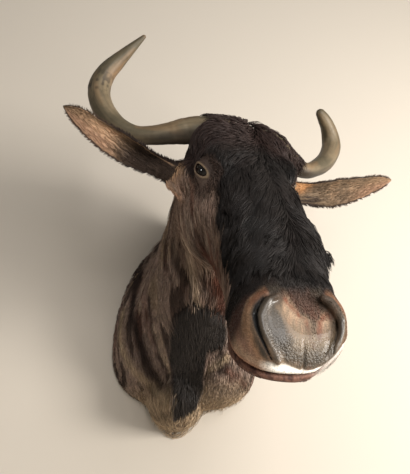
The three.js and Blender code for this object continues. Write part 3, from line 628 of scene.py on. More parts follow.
BLACK = rgb(27, 24, 22)
CROWN = rgb(50, 37, 33)
CHEEK = rgb(134, 112, 98)
CHEEK_PALE = rgb(166, 146, 128)
NECK = rgb(146, 126, 114)
NECK_DARK = rgb(44, 33, 29)
RED_BROWN = rgb(92, 52, 38)
TAN = rgb(150, 128, 100)
RUST = rgb(112, 72, 52)
PEACH = rgb(172, 145, 119)
PAD = rgb(76, 66, 54)
WEDGE = rgb(58, 37, 29)
OLIVE = rgb(174, 153, 126)
PALE = rgb(190, 168, 146)
WHITE = rgb(255, 250, 240)
LIP = rgb(118, 84, 70)
PINK_LIP = rgb(178, 132, 108)
SALMON = rgb(152, 118, 90)
WING_SHADE = rgb(44, 40, 32)
LIP_DARK = rgb(58, 34, 30)
LID = rgb(118, 100, 78)
EYE_SHADE = rgb(62, 48, 41)
BEARD_BLACK = rgb(47, 42, 39)
GLAND_AND_SHEEN = rgb(104, 101, 102)
EAR_BASE = rgb(164, 129, 95)
BARE = rgb(226, 182, 152)
HOLE_SHADE = rgb(9, 7, 7)
# the lower edge of the face's black hair, from nose to poll
FACE_LINE = (
    (-400, -48), (-232, -40), (-207, -31), (-179, -24), (-143, -18), (-129, -4), (-110, -5), (-79, -9),
    (-49, 0), (-38, 4), (-24, 8), (-6, 2), (6, -14), (22, -22), (45, -28), (60, -32), (110, -45), (200, -60),
)


def blend(a, b, t):
    return a + (b - a) * t[:, None]


def layers(colour, tints):
    """Lays tints over a colour, each as thickly as its share says."""
    for tint, share in tints:
        colour = blend(colour, tint, share)
    return colour


def face_share(h, jitter):
    """1 where the long black hair of the face and crown grows."""
    line = look_up(h[:, 1], FACE_LINE)
    return smooth(-5, 5, h[:, 2] - line + jitter)


# height, and the left and right edge of the throat's black hair
BEARD = (
    (-290, -31, -24), (-282, -32, -12), (-262, -26, 8), (-249, -19, 20), (-237, -23, 26), (-212, -29, 28),
    (-201, -34, 29), (-176, -41, 30), (-164, -42, 34), (-153, -42, 66), (-130, -41, 66), (-121, -38, 58),
    (-112, -26, 30), (-105, -14, 0), (-100, -8, -6),
)


def beard_share(p, low=-286):
    """1 where the black hair of the throat grows, on the front of the neck."""
    z = p[:, 2]
    left, right = look_up(z, BEARD, 1), look_up(z, BEARD, 2)
    inside = np.minimum(p[:, 0] - left, right - p[:, 0]) + 5 * (noise(p, (9, 9, 16), 21) - 0.5)
    side = smooth(-4, 4, inside) * smooth(-60, -80, p[:, 1]) * smooth(-276, -258, p[:, 1])
    return side * smooth(low - 4, low + 4, z)


# Markings measured on the side that the photo shows: colour, strength, half width and the line.
MARKINGS = [
    (NECK_DARK, 0.97, 17, [
        (-104, -24, 28), (-112, -50, -26), (-116, -77, -71), (-110, -107, -116), (-101, -112, -147),
        (-90, -110, -176), (-75, -100, -208), (-58, -100, -236)]),
    (CHEEK_PALE, 0.8, 5, [(-92, -91, -12), (-101, -106, -47), (-101, -128, -86)]),
    (OLIVE, 0.8, 11, [
        (-138, -34, -71), (-140, -52, -124), (-132, -63, -161), (-110, -74, -199), (-78, -79, -228),
        (-45, -113, -264)]),
    (NECK_DARK, 0.8, 4, [(-85, -158, -58), (-79, -155, -117), (-62, -144, -172), (-37, -120, -224)]),
    (CHEEK_PALE, 0.8, 4, [(-70, -155, -125), (-55, -142, -175), (-34, -122, -218), (-17, -126, -254)]),
    (CHEEK_PALE, 0.3, 14, [(-70, -200, 0), (-68, -190, -60), (-58, -175, -110)]),
    (PALE, 0.8, 3, [(-60, -165, -142), (-51, -151, -173), (-38, -129, -208), (-22, -128, -244)]),
    (NECK_DARK, 0.8, 7, [(-36, -300, 10), (-35, -265, -9), (-37, -249, -31), (-29, -246, -55)]),
    (NECK_DARK, 0.9, 6, [(-24, -257, -48), (-11, -251, -75), (-3, -240, -97)]),
    (PALE, 0.95, 7, [(-32, -340, -9), (-17, -282, -34), (-2, -257, -76), (9, -219, -122)]),
    (NECK_DARK, 0.8, 4, [(-4, -389, -64), (10, -283, -60), (16, -257, -85)]),
    (RED_BROWN, 0.85, 14, [(-2, -400, -62), (5, -409, -77), (11, -455, -115)]),
    (RED_BROWN, 0.85, 14, [(34, -270, -70), (43, -256, -84), (50, -233, -105)]),
    (NECK_DARK, 0.5, 9, [(-30, -104, -286), (-60, -60, -292), (-90, -20, -270)]),
    (CHEEK_PALE, 0.6, 26, [(55, -125, -248), (94, -121, -245)]),
    (RED_BROWN, 0.6, 8, [(69, -163, -210), (94, -144, -226), (113, -110, -235)]),
    (OLIVE, 0.8, 7, [(32, -156, -210), (69, -165, -187)]),
    (NECK_DARK, 0.5, 4, [(36, -150, -222), (75, -160, -198)]),
]


def nose_wedge(r):
    """Distance from the dark wedge of hair that reaches down over the nose."""
    half = 32 * np.sqrt(np.clip((r[:, 1] + 316) / 24, 0.02, 1)) + 0.6 * np.maximum(r[:, 1] + 290, 0)
    return np.abs(r[:, 0] - 17) - half


def gland(m):
    """Distance from the bare place of the scent gland, in front of the eye."""
    return ball(m * np.array([1, 0.6, 1.1]), (71.0, -62, 24))


def gland_strip(m):
    """Distance from that place and the strip above it, whose hair would lie on it."""
    return polyline(m, np.array([(71.0, -110, 22), (70, -76, 18)]))[0]


# how dark and how light the tufts of one place may be
STRAND_SHADES = (0.8, 1.22)


def coat_colour(p, strand=0.5):
    """The coat's and skin's colour at a place; strand shifts it for one tuft."""
    h = to_head(p)
    m = mirrored(h)
    r = rolled(h)
    mr = mirrored(r)
    wide = noise(p, (34, 34, 60), 3)
    fine = noise(p, (7, 7, 26), 5)
    hairs = noise(p, (3.5, 3.5, 9), 41)
    sway, fuzz, wisp = wide - 0.5, fine - 0.5, hairs - 0.5
    # neck: grey-brown with dark upright brindling
    stripe = noise(p + 14 * sway[:, None], (13, 15, 110), 7)
    dark = smooth(0.52, 0.72, stripe + 0.25 * fuzz)
    rear = smooth(-150, -40, p[:, 1])
    colour = blend(NECK, TAN, 0.55 * smooth(0.45, 0.8, wide) * (1 - rear))
    colour = blend(colour, NECK_DARK, 0.8 * dark)
    red = smooth(0.5, 0.75, noise(p, (26, 24, 120), 11)) * smooth(60, -60, p[:, 2])
    colour = layers(colour, [
        (RED_BROWN, 0.35 * red),
        (OLIVE, 0.8 * smooth(-215, -262, p[:, 2])),
        # painted shade: darker within a few mm of the wall, where the coat meets it
        (NECK_DARK, 0.75 * smooth(-9, -2, p[:, 1])),
    ])
    # head: brown-grey cheeks with pale hanging streaks, darker jaw
    head = smooth(-232, -300, p[:, 1] - 0.25 * (p[:, 2] + 60))
    cheek = blend(CHEEK, CHEEK_PALE, 0.5 * smooth(0.5, 0.8, noise(p, (7, 9, 60), 13)))
    cheek = blend(cheek, RED_BROWN, 0.6 * smooth(0.6, 0.8, noise(p, (12, 14, 70), 17)))
    jaw = smooth(-60, -110, h[:, 2]) * smooth(10, -60, h[:, 1])
    cheek = blend(cheek, NECK_DARK, 0.6 * jaw)
    colour = blend(colour, cheek, head)
    pale = bell(dot(m - np.array([73.0, -30, -88]), unit([0.2, 0.95, 0.25])), 17)
    pale = pale * smooth(-36, -60, h[:, 2])
    colour = blend(colour, CHEEK_PALE, 0.7 * pale * smooth(0.3, 0.6, fine) * head)
    for tint, strength, width, line in MARKINGS:
        near, _ = polyline(p, np.array(line, float))
        near = np.maximum(near + 9 * fuzz + 5 * sway, 0)
        colour = blend(colour, tint, strength * bell(near, width))
    colour = blend(colour, BEARD_BLACK, beard_share(p))
    # face, crown and the dark between eye, ear and horn
    face = face_share(m, 6 * fuzz)
    black = blend(BLACK, CROWN, smooth(0, 60, h[:, 1]) * 0.8 + 0.2 * wide)
    colour = blend(colour, black, face * smooth(-180, -240, p[:, 1]))
    lid = ball(m, EYE_CENTRE + 17 * EYE_LOOK + np.array([0, -9, -3]))
    colour = layers(colour, [
        (EYE_SHADE, 0.85 * smooth(46, 32, lid + 10 * fuzz)),
        # the bare gland is painted grey: its skin's colour and partly a painted sheen
        (GLAND_AND_SHEEN, 0.85 * smooth(13, 6, gland(m) + 5 * fuzz)),
        (EAR_BASE, 0.75 * smooth(32, 12, ball(m, (112.0, 50, -38)) + 10 * fuzz)),
        (BARE, 0.7 * smooth(32, 8, ball(m, (104.0, 38, -72)) + 12 * fuzz)),
    ])
    across, up, ahead = eye_frame(m)
    ring = np.hypot(across / EYE_OPENING[0], up / EYE_OPENING[1])
    margin = smooth(0, 4, ahead) * (lid < 40)
    colour = blend(colour, LID, 0.95 * smooth(1.5, 1.3, ring) * margin)
    # painted shade: the lid's edge against the eye is painted near black
    colour = blend(colour, LIP_DARK * 0.6, smooth(1.1, 1.02, ring) * margin)
    # muzzle: a dark V over the nose, rust and pale tan round the bare pad, brown beside the nostrils
    x, y, z = mr[:, 0], r[:, 1], r[:, 2]
    front = smooth(-238, -258, y + 0.25 * (z + 20) + 8 * fuzz)
    side = smooth(30, 60, x)
    vee = nose_wedge(r) + 13 * fuzz
    edge = pad_outline(r)
    nose = blend(PEACH, RUST, np.clip(0.85 * bell(vee - 4, 7) + 0.9 * wisp, 0, 1))
    nose = layers(nose, [
        (WEDGE, 0.95 * smooth(5, -9, vee)),
        (RUST * 0.7, 0.5 * smooth(-2, -12, vee) * smooth(0.4, 0.7, wide)),
        (LIP, 0.8 * side * smooth(-10, -36, z)),
    ])
    slit, place = polyline(mr, NOSTRIL)
    lateral = smooth(-2, 5, past_nostril(mr))
    nose = blend(nose, SALMON * 1.1, 0.9 * lateral * smooth(26, 10, slit + 10 * fuzz))
    nose = blend(nose, PEACH, 0.7 * lateral * smooth(-30, -46, z + 10 * fuzz))
    nose = nose * mix(0.8 + 0.36 * hairs, 0.5 + 0.6 * fine + 0.4 * hairs, lateral)[:, None]
    nose = blend(nose, PAD * 1.2, 0.6 * (1 - lateral) * smooth(18, 3, edge + 12 * fuzz + 10 * wisp))
    behind = smooth(12, 26, slit + 12 * fuzz) * smooth(-328, -300, y + 14 * sway)
    nose = layers(nose, [
        (LIP_DARK, 0.92 * lateral * behind),
        # painted shade beside the nostril's slit, on its outer side
        (WING_SHADE, 0.92 * lateral * smooth(15, 4, slit + 5 * fuzz)),
        (mix(SALMON, PAD, 0.6) * 0.75, 0.85 * smooth(42, 54, r[:, 0]) * smooth(-288, -306, y)),
        (RUST, 0.75 * bell(slit - 9, 7) * smooth(-306, -292, y)),
        (BLACK, 0.95 * smooth(-293, -271, y - 8 * lateral + 12 * sway + 8 * fuzz)),
    ])
    colour = blend(colour, nose, front)
    speck = noise(p, (3, 3, 3), 19)
    mottled = blend(PAD, PAD * 0.45, smooth(0.45, 0.8, speck) * 0.6)
    mottled = layers(mottled, [
        (TAN, 0.5 * smooth(-26, -4, r[:, 0]) * smooth(-30, -14, z)),
        (PAD * 0.55, 0.85 * smooth(-24, -14, z) * smooth(-12, -26, r[:, 0])),
        # painted highlight: a pale line along the inner rim of the nostril
        (PAD * 1.7, 0.5 * bell(slit - 7, 1.6)),
    ])
    medial = smooth(1, -2, past_nostril(mr))
    above = smooth(1.5, -1, look_up(r[:, 0], PAD_BOTTOM) - z + 1.5 * fuzz)
    colour = layers(colour, [
        (mottled, smooth(8, -9, edge + 9 * fuzz + 8 * wisp) * medial * above),
        (PAD * 0.8, 0.9 * smooth(12, 6, slit) * medial * above * smooth(-292, -300, y)),
        (PAD * 0.6, 0.85 * smooth(-18, -8, z) * smooth(24, 12, slit + 6 * wisp) * medial * above),
        # painted highlight: a pale line along the inner rim of the nostril
        (PAD * 1.7, 0.5 * bell(slit - 6.5, 1.1) * medial * above * smooth(-300, -310, y)),
    ])
    width = spread(place, NOSTRIL_WIDTH)
    # painted shade: the slit and the nostril's inside, deeper than 3.5 mm, are painted near black
    deep = smooth(14, 9, slit) * smooth(3.5, 5.5, -body_field(p, False))
    colour = blend(colour, HOLE_SHADE, np.maximum(smooth(1.6, -0.2, slit - width), deep))
    off = above_mouth(r)
    back = dot(r - MOUTH_FRONT, MOUTH_LINE)
    upper_lip = look_up(r[:, 0], PAD_BOTTOM) - z
    white = smooth(0.5, 2.5, upper_lip + 1.5 * fuzz) * smooth(-0.5, 1, off) * smooth(-255, -280, y)
    inner = smooth(-56, -34, r[:, 0] + 8 * fuzz)
    inner = inner * (1 - smooth(20, 50, r[:, 0]) * smooth(-304, -288, y + 8 * fuzz))
    colour = layers(colour, [
        (WHITE, white * inner * smooth(19, 13, off)),
        (PINK_LIP, 0.9 * white * (1 - inner) * smooth(11, 2, off)),
        # painted shade: a dark line down the groove under the nose
        (LIP_DARK, 0.8 * white * bell(r[:, 0], 1.0) * smooth(-53, -49, z)),
    ])
    lower = smooth(0.5, -1.2, off) * smooth(-200, -250, y)
    dark = smooth(-14, -34, off + 8 * sway) + 0.8 * smooth(0.45, 0.8, hairs)
    lip = blend(LIP, LIP_DARK, np.clip(dark, 0, 1))
    lip = blend(lip, WHITE, 0.5 * smooth(14, 44, r[:, 0] + 8 * fuzz) * smooth(-288, -304, y))
    colour = blend(colour, lip, lower)
    # painted shade along the line of the mouth, where the lips meet
    mouth_line_shade = bell(off, 1.3) * (1 - smooth(104, 130, back)) * smooth(-225, -236, y)
    colour = blend(colour, LIP_DARK * 0.5, 0.9 * mouth_line_shade)
    return colour * np.reshape(mix(*STRAND_SHADES, strand), (-1, 1))


# ---------------------------------------------------------------- the lie and length of the coat


def field_reader(axes, values):
    """Distance to the skin and the way out of it, read quickly from the grid of its field."""
    values = values.astype(np.float32)
    slopes = np.stack(np.gradient(values, *axes), -1).astype(np.float32)

    def read(p):
        index, share = [], []
        for k, axis in enumerate(axes):
            i = np.clip(np.searchsorted(axis, p[:, k], side="right") - 1, 0, len(axis) - 2)
            index.append(i)
            share.append(((p[:, k] - axis[i]) / (axis[i + 1] - axis[i])).clip(0, 1))
        distance = np.zeros(len(p))
        out = np.zeros((len(p), 3))
        for c in range(8):
            corner = [(c >> k) & 1 for k in range(3)]
            weight = np.prod([s if on else 1 - s for s, on in zip(share, corner)], axis=0)
            at = tuple(i + on for i, on in zip(index, corner))
            distance += weight * values[at]
            out += weight[:, None] * slopes[at]
        return distance, unit(out)

    return read


NECK_RIDGE = ((0, 5), (130, 12), (200, 20), (260, 27), (330, 36), (400, 44))


def ridge_x(p):
    """Where the neck's upper ridge runs, across."""
    return look_up(-p[:, 1], NECK_RIDGE)


# how much the face's hair lies to the side and ahead, by its place between nose and poll
HAIR_ASIDE = (
    (-260, 0.35), (-215, 0.85), (-160, 1.0), (-100, 0.75), (-60, 0.4), (0, 0.3), (60, 0.75), (110, 1.2),
)
HAIR_AHEAD = ((-260, 1.0), (-160, 0.75), (-60, 1.0), (20, 0.9), (70, 0.5), (110, 0.1))


def lie(p, normal):
    """The way the coat lies at each place: a unit direction along the skin."""
    h = to_head(p)
    m = mirrored(h)
    out = normal @ HEAD
    # head: from poll to nose, parting from the middle of the face
    around = np.stack([out[:, 2], np.zeros(len(p)), -out[:, 0]], 1)
    crest = 6 + 6 * np.sin(h[:, 1] / 34)
    part = np.tanh((h[:, 0] - crest) / 15)
    aside = look_up(h[:, 1], HAIR_ASIDE)
    ahead = look_up(h[:, 1], HAIR_AHEAD)
    face = around * (part * aside)[:, None] + np.array([0.0, -1, 0]) * ahead[:, None]
    face = face @ HEAD.T
    # away from the eye close to it
    eye = m - EYE_CENTRE
    eye = np.stack([eye[:, 0] * np.sign(h[:, 0]), eye[:, 1], eye[:, 2]], 1) @ HEAD.T
    face = face + 1.3 * unit(eye) * smooth(40, 24, ball(m, EYE_CENTRE))[:, None]
    # cheeks, throat and neck hang, a little back to the wall; the mane falls to both sides
    same = np.ones(len(p))
    hang = np.stack([-0.06 * same, 0.10 + 0.16 * smooth(-330, -150, p[:, 1]), -same], 1)
    top = smooth(0.25, 0.75, normal[:, 2]) * smooth(-400, -340, p[:, 1])
    fall = np.stack([np.tanh((p[:, 0] - ridge_x(p)) / 16), 0.75 * same, -0.6 * same], 1)
    hang = blend(hang, fall, top)
    muzzle = smooth(-250, -275, h[:, 1])
    nose = np.stack([0.35 * np.tanh(h[:, 0] / 20), -0.6 * same, -0.75 * same], 1) @ HEAD.T
    on_face = face_share(m, 0) * smooth(-150, -250, p[:, 1])
    way = blend(blend(hang, face, on_face), nose, muzzle)
    swirl = 1.1 * (noise(p, (46, 46, 46), 23) - 0.5) + 0.8 * (noise(p, (19, 19, 24), 29) - 0.5)
    swirl = swirl * mix(0.5, 1.0, on_face)
    way = unit(way - normal * dot(way, normal)[:, None])
    return way * np.cos(swirl)[:, None] + np.cross(normal, way) * np.sin(swirl)[:, None]


def scatter(weight, count, seed, smallest=0.02):
    """Places spread over the skin, as many as count, thicker where weight is greater."""
    rng = np.random.default_rng(seed)
    corners = [skin_points[skin_quads[:, k]] for k in range(4)]
    area = np.linalg.norm(np.cross(corners[2] - corners[0], corners[3] - corners[1]), axis=1) / 2
    middle = sum(corners) / 4
    share = weight(middle)
    keep = share > smallest
    amount = np.cumsum(np.where(keep, area * share, 0))
    at = (np.arange(count) + rng.random(count)) / count * amount[-1]
    quad = np.searchsorted(amount, at).clip(0, len(amount) - 1)
    s, t = rng.random((2, count, 1))
    a, b, c, d = (k[quad] for k in corners)
    roots = (a * (1 - s) + b * s) * (1 - t) + (d * (1 - s) + c * s) * t
    return roots[rng.permutation(count)]


# how much deeper than the usual coat a tuft may lie, and how far it stays off the wall
MOST_LIFT = 9
CLEAR_OF_WALL = 1.5


def value_at(what, p):
    return what(p) if callable(what) else what


def grow(
    roots, length, steps, seed, read,
    height=1.0, hang=0.0, wave=0.0, lock=0.0, lock_size=14.0, spare=0.0, loose=1.2,
):
    """Paths of tufts along the skin, as points from root to tip.

    height is how far up in the coat's depth they run, hang how freely they drop, wave the sideways
    swing in mm, lock how much they draw together into locks about lock_size apart, spare more depth
    for them and loose how far they may stray above it."""
    rng = np.random.default_rng(seed)
    n = len(roots)
    usual = coat_depth(roots, to_head(roots))
    depth = np.clip(-body_field(roots, True), usual, usual + MOST_LIFT) + value_at(spare, roots)
    level = height * rng.uniform(0.35, 1.05, n)
    paths = np.empty((n, steps + 1, 3))
    _, normal = read(roots)
    p = roots - 0.9 * normal
    paths[:, 0] = p
    stride = (length * rng.uniform(0.75, 1.15, n) / steps)[:, None]
    way = lie(p, normal)
    for s in range(1, steps + 1):
        way = unit(0.45 * way + lie(p, normal))
        drop = hang * s / steps
        p = p + unit(way + np.array([0, 0, -1.0]) * drop) * stride
        distance, normal = read(p)
        wanted = depth * level * min(1.0, 1.7 * s / steps)
        rise = wanted - distance
        p = p + normal * np.where(rise > 0, rise, rise * (1 - hang))[:, None]
        paths[:, s] = p
    along = np.linspace(0, 1, steps + 1)
    if wave:
        _, normal = read(paths[:, steps // 2])
        side = np.cross(normal, unit(paths[:, -1] - paths[:, 0]))
        phase = 6.3 * noise(roots, (26, 26, 26), seed + 1) + rng.normal(0, 0.35, n)
        turns = 5.5 * length / 60
        swung = np.sin(phase[:, None] + np.reshape(turns, (-1, 1)) * along)
        swing = wave * swung - wave * np.sin(phase)[:, None]
        paths += side[:, None, :] * (swing * along**0.5)[:, :, None]
    if lock:
        paths = draw_together(paths, lock, lock_size, rng)
    for s in 2 * list(range(1, steps + 1)):
        distance, normal = read(paths[:, s])
        most = depth * level + value_at(loose, roots) * s / steps
        stray = np.maximum(distance - most, 0) - np.maximum(0.3 - distance, 0)
        paths[:, s] -= normal * (0.9 * stray)[:, None]
    paths[:, :, 1] = np.minimum(paths[:, :, 1], -CLEAR_OF_WALL)
    return paths


def draw_together(paths, strength, size, rng):
    """Pulls each tuft to the nearest of some chosen ones, more and more towards its tip."""
    n, count = len(paths), paths.shape[1]
    middle = paths[:, count // 3]
    order = rng.permutation(n)
    cells = np.floor(middle[order] / size).astype(int)
    _, first = np.unique(cells, axis=0, return_index=True)
    guides = order[first]
    nearest = np.empty(n, int)
    for part in np.array_split(np.arange(n), max(1, n * len(guides) // 4_000_000 + 1)):
        gap = middle[part][:, None, :] - middle[guides][None]
        nearest[part] = guides[(gap**2).sum(-1).argmin(1)]
    along = np.linspace(0, 1, count)[None, :, None]
    reach = np.linalg.norm(paths[:, -1] - paths[:, 0], axis=1)
    pull = strength * along**1.3 * rng.uniform(0.55, 1.1, (n, 1, 1))
    pull = pull * smooth(0, 2.6 * size, reach)[:, None, None]
    target = paths[nearest]
    far = np.linalg.norm(target - paths, axis=-1, keepdims=True)
    pull = pull * smooth(3.0 * size, 1.5 * size, far)
    return paths + (target - paths) * np.clip(pull, 0, 0.92)


# ---------------------------------------------------------------- making the tufts


def unwrap(p):
    """A place's angle round the neck and head and its way along them."""
    h = to_head(p)
    on_head = (p[:, 1] < -262 + 0.2 * (p[:, 2] + 40)) * 1.0
    turn_head = np.arctan2(h[:, 0], h[:, 2] + 50) / (2 * math.pi)
    middle = np.interp(-p[:, 1], (0, 300), (-90, 60))
    turn_neck = np.arctan2(p[:, 0] - 20, p[:, 2] - middle) / (2 * math.pi)
    u = np.where(on_head > 0, 0.75 + 0.48 * turn_head, 0.25 + 0.48 * turn_neck)
    v = np.where(on_head > 0, (h[:, 1] + 380) / 560, -p[:, 1] / 420)
    return np.stack([u, v], 1)


# each tuft's patch on the map, how thick a tuft is for its width, and how pale its tip
PATCH = 0.003
TUFT_FLAT = 0.6
TIP_LIGHT = 1.12


def tuft_piece(name, paths, width, colours, coat, up=None, root_dark=0.62, places=None):
    """One mesh of closed three-sided tufts that taper to a point."""
    n, count, _ = paths.shape
    steps = count - 1
    along = np.linspace(0, 1, count)
    tangent = np.gradient(paths, axis=1)
    if up is None:
        up = np.stack([read_skin(paths[:, s])[1] for s in range(count)], 1)
    elif up.ndim == 2:
        up = np.repeat(up[:, None], count, 1)
    side = unit(np.cross(tangent, up))
    up = np.cross(side, unit(tangent))
    taper = 0.62 + 0.5 * np.sin(math.pi * np.minimum(along * 1.15, 1))
    half = np.reshape(width, (-1, 1)) / 2 * taper * (1 - along**3)
    half = half[:, :-1, None]
    base = paths[:, :-1]
    rings = np.stack(
        [base + side[:, :-1] * half, base + up[:, :-1] * half * 2 * TUFT_FLAT, base - side[:, :-1] * half], 2
    )
    points = np.concatenate([rings.reshape(n, steps * 3, 3), paths[:, -1:]], 1)
    # each tuft is painted darker towards its root, painted shade deep in the coat, and paler at its tip
    shade = mix(root_dark, 1.0, np.minimum(along * 2.2, 1)) * mix(1.0, TIP_LIGHT, along)
    tint = np.concatenate([np.repeat(shade[:-1], 3), shade[-1:]])
    colour = colours[:, None, :] * tint[None, :, None]
    one = [(0, 1, 2)]
    for s in range(steps - 1):
        for k in range(3):
            a, b = 3 * s + k, 3 * s + (k + 1) % 3
            one += [(a, a + 3, b), (b, a + 3, b + 3)]
    last = 3 * (steps - 1)
    one += [(last + k, 3 * steps, last + (k + 1) % 3) for k in range(3)]
    each = 3 * steps + 1
    faces = (np.array(one)[None] + np.arange(n)[:, None, None] * each).reshape(-1, 3)
    obj = make_mesh(name, points.reshape(-1, 3), faces)
    paint(obj, "coat", colour.reshape(-1, 3))
    flat_place = unwrap(paths[:, 0]) if places is None else places
    low, high = flat_place.min(0), flat_place.max(0)
    flat_place = 0.01 + 0.98 * (flat_place - low) / np.maximum(high - low, 1e-6)
    across = np.append(np.tile([-0.5, 0.0, 0.5], steps), 0) * PATCH
    lengthwise = (np.append(np.repeat(along[:-1], 3), 1) - 0.5) * PATCH
    uv = flat_place[:, None, :] + np.stack([across, lengthwise], -1)[None]
    layer = obj.data.uv_layers.new(name="OFBake")
    layer.data.foreach_set("uv", uv.reshape(-1, 2)[faces.ravel()].astype(np.float32).ravel())
    obj.data.materials.append(coat)


# ---------------------------------------------------------------- the skin


# from, to and the spans of the muzzle and eyes, where the grid is fine, along X, Y and Z
GRID_SPANS = ((-176, 186, [(-26, 172)]), (-616, 6, [(-612, -455)]), (-330, 236, [(-298, -128), (24, 84)]))
GRID_STEPS = ((1.7, 4.0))
AXES = [spaced(*span, *GRID_STEPS) for span in GRID_SPANS]
GRID = grid_field(skin_field, AXES)
skin_points, skin_quads = surface_mesh(GRID, AXES)
skin_points = settle(skin_field, skin_points)
read_skin = field_reader(AXES, GRID)
skin = make_mesh("skin", skin_points, skin_quads, ("neck", "head", "muzzle", "lower_jaw"))
paint(skin, "coat", coat_colour(skin_points))
SKIN = material("skin", (0.15, 1.85, 560), 0.65, [("grain", 600, 0.7, 0.0011)], specular=0.3)
skin.data.materials.append(SKIN)
# the nose's bare pad is pebbled leather
turned = rolled(to_head(skin_points))
edge = pad_outline(turned)
slit = polyline(mirrored(turned), NOSTRIL)[0]
pebbled = smooth(3, -5, edge) * smooth(3, 12, slit) * (0.3 + 0.7 * smooth(-4, -22, turned[:, 2]))
paint(skin, "pebbled", np.repeat(pebbled[:, None], 3, 1))
PEBBLES = [("cells", 400, 1.0, 0.0011), ("cells", 900, 0.5, 0.0005)]
LEATHER = material("nose_leather", (0.3, 1.7, 620), 0.45, PEBBLES, coat=0.16, share="pebbled")
skin.data.materials.append(LEATHER)
on_pad = (edge[skin_quads].min(1) < 2) & (slit[skin_quads].min(1) > 3)
skin.data.polygons.foreach_set("material_index", on_pad.astype(np.int32))

# ---------------------------------------------------------------- the coat

THIN = 1
HAIR = material("long_hair", (0.8, 1.25, 420), 0.55, specular=0.3)
FUR = material("short_fur", (0.8, 1.2, 380), 0.7, specular=0.2)


def clear_of_parts(p):
    """1 where tufts may root, away from the eyes, the horns and the ears."""
    m = mirrored(to_head(p))
    eye = smooth(23, 25, ball(m, EYE_CENTRE))
    horn, _ = polyline(m, np.array([(26.0, 98, 26), (71, 103, 19), (97, 105, 10), (122, 105, -1)]))
    return eye * smooth(27, 29, horn)


def face_weight(p):
    h = to_head(p)
    m = mirrored(h)
    w = face_share(m, 6 * (noise(p, (9, 9, 9), 31) - 0.5)) * smooth(-180, -240, p[:, 1])
    end = -240 + 0.28 * np.maximum(m[:, 0] - 20, 0)
    w = w * smooth(-8, 8, h[:, 1] - end + 12 * (noise(p, (12, 12, 12), 33) - 0.5))
    w = w * (1 - smooth(10, 30, h[:, 1])) * smooth(7, 13, gland_strip(m))
    return w * clear_of_parts(p) * (0.45 + 0.55 * smooth(-10, -60, h[:, 1]))


def face_length(p):
    h = to_head(p)
    m = mirrored(h)
    length = 28 + 22 * smooth(0, -80, h[:, 1]) - 18 * smooth(-180, -240, h[:, 1])
    by_eye = 0.35 + 0.65 * smooth(26, 60, ball(m, EYE_CENTRE))
    return length * by_eye * (0.4 + 0.6 * smooth(10, 34, gland(m)))


def crown_weight(p):
    h = to_head(p)
    m = mirrored(h)
    middle = 1 + 2 * bell(h[:, 0], 14) * smooth(50, 80, h[:, 1])
    zone = smooth(8, 26, h[:, 1]) * face_share(m, 0) * smooth(-200, -250, p[:, 1])
    return zone * clear_of_parts(p) * middle


def mane_weight(p):
    _, normal = read_skin(p)
    near = smooth(52, 30, np.abs(p[:, 0] - ridge_x(p)))
    return near * smooth(0.1, 0.4, normal[:, 2]) * smooth(-345, -325, p[:, 1]) * smooth(-8, -20, p[:, 1])


def bare_of_short(p):
    """1 where the long black hair or the muzzle begins."""
    h = to_head(p)
    on_face = face_share(mirrored(h), 0) * smooth(-180, -240, p[:, 1])
    return np.maximum(on_face, smooth(-236, -250, h[:, 1]))


def on_cheek(p):
    h = to_head(p)
    return smooth(-215, -250, p[:, 1] - 0.15 * (p[:, 2] + 40)) * smooth(95, 70, h[:, 1])


def cheek_weight(p):
    by_ear = smooth(12, 26, ball(mirrored(to_head(p)), (104.0, 44, -55)))
    return on_cheek(p) * (1 - bare_of_short(p)) * clear_of_parts(p) * (1 - beard_share(p)) * by_ear


def cheek_length(p):
    near = smooth(24, 60, ball(mirrored(to_head(p)), EYE_CENTRE))
    return 7 + 24 * near


def neck_weight(p):
    edge = smooth(-1.5, -8, p[:, 1])
    return (1 - on_cheek(p)) * (1 - bare_of_short(p)) * (1 - beard_share(p)) * edge * clear_of_parts(p)


def muzzle_weight(p):
    """The very short hair round the pad and on the lips."""
    r = rolled(to_head(p))
    slit, _ = polyline(mirrored(r), NOSTRIL)
    off = np.abs(above_mouth(r))
    w = smooth(-232, -250, r[:, 1]) * smooth(0.5, 3, pad_outline(r)) * smooth(5, 9, slit) * smooth(1, 3, off)
    bare = smooth(-276, -288, r[:, 1]) * smooth(50, 40, np.abs(r[:, 0])) * smooth(-6, 2, nose_wedge(r))
    return w * (1 - bare)


# for the right and left horn: the line that the crown's hair covers, and its radii there
HORN_HAIR = {
    -1: (np.array([(0.0, 95, 25), (-30, 98, 25), (-60, 102, 20)]), (28.5, 28.5, 26.5)),
    1: (
        np.array([(0.0, 95, 25), (30, 98, 25), (71, 101, 17), (97, 100, 4), (127, 100, -8)]),
        (28.5, 28, 25, 20.5, 16.5),
    ),
}


def horn_hair_field(p):
    """Distance to the roots of the horns, as far as the crown's hair covers them."""
    h = to_head(p)
    best = np.full(len(p), 1e9)
    for line, sizes in HORN_HAIR.values():
        near, place = polyline(h, line)
        best = np.minimum(best, near - spread(place, sizes))
    return best


def read_scalp(p):
    """The skin and the roots of the horns as one, for the hair of the crown to lie on."""
    distance, normal = read_skin(p)
    near = horn_hair_field(p)
    away = unit(slope(horn_hair_field, p))
    return join(distance, near, 8), unit(blend(normal, away, smooth(-5, 5, distance - near)))


def horn_roots(count, seed):
    """Places on the roots of the horns, where the crown's hair grows over them."""
    rng = np.random.default_rng(seed)
    sides = []
    for side, share in ((-1, 0.3), (1, 0.7)):
        line = HORN_HAIR[side][0]
        many = int(count * share)
        t = rng.random(many) * (len(line) - 1)
        at = np.minimum(t.astype(int), len(line) - 2)
        centre = mix(line[at], line[at + 1], (t - at)[:, None])
        turn = rng.uniform(-2.6, 1.7, many)
        out = np.stack([0 * t, np.sin(turn), np.cos(turn)], 1)
        sides.append(from_head(centre + 26 * out))
    p = settle(horn_hair_field, np.concatenate(sides), 3, 12)
    return p[read_skin(p)[0] > -1]


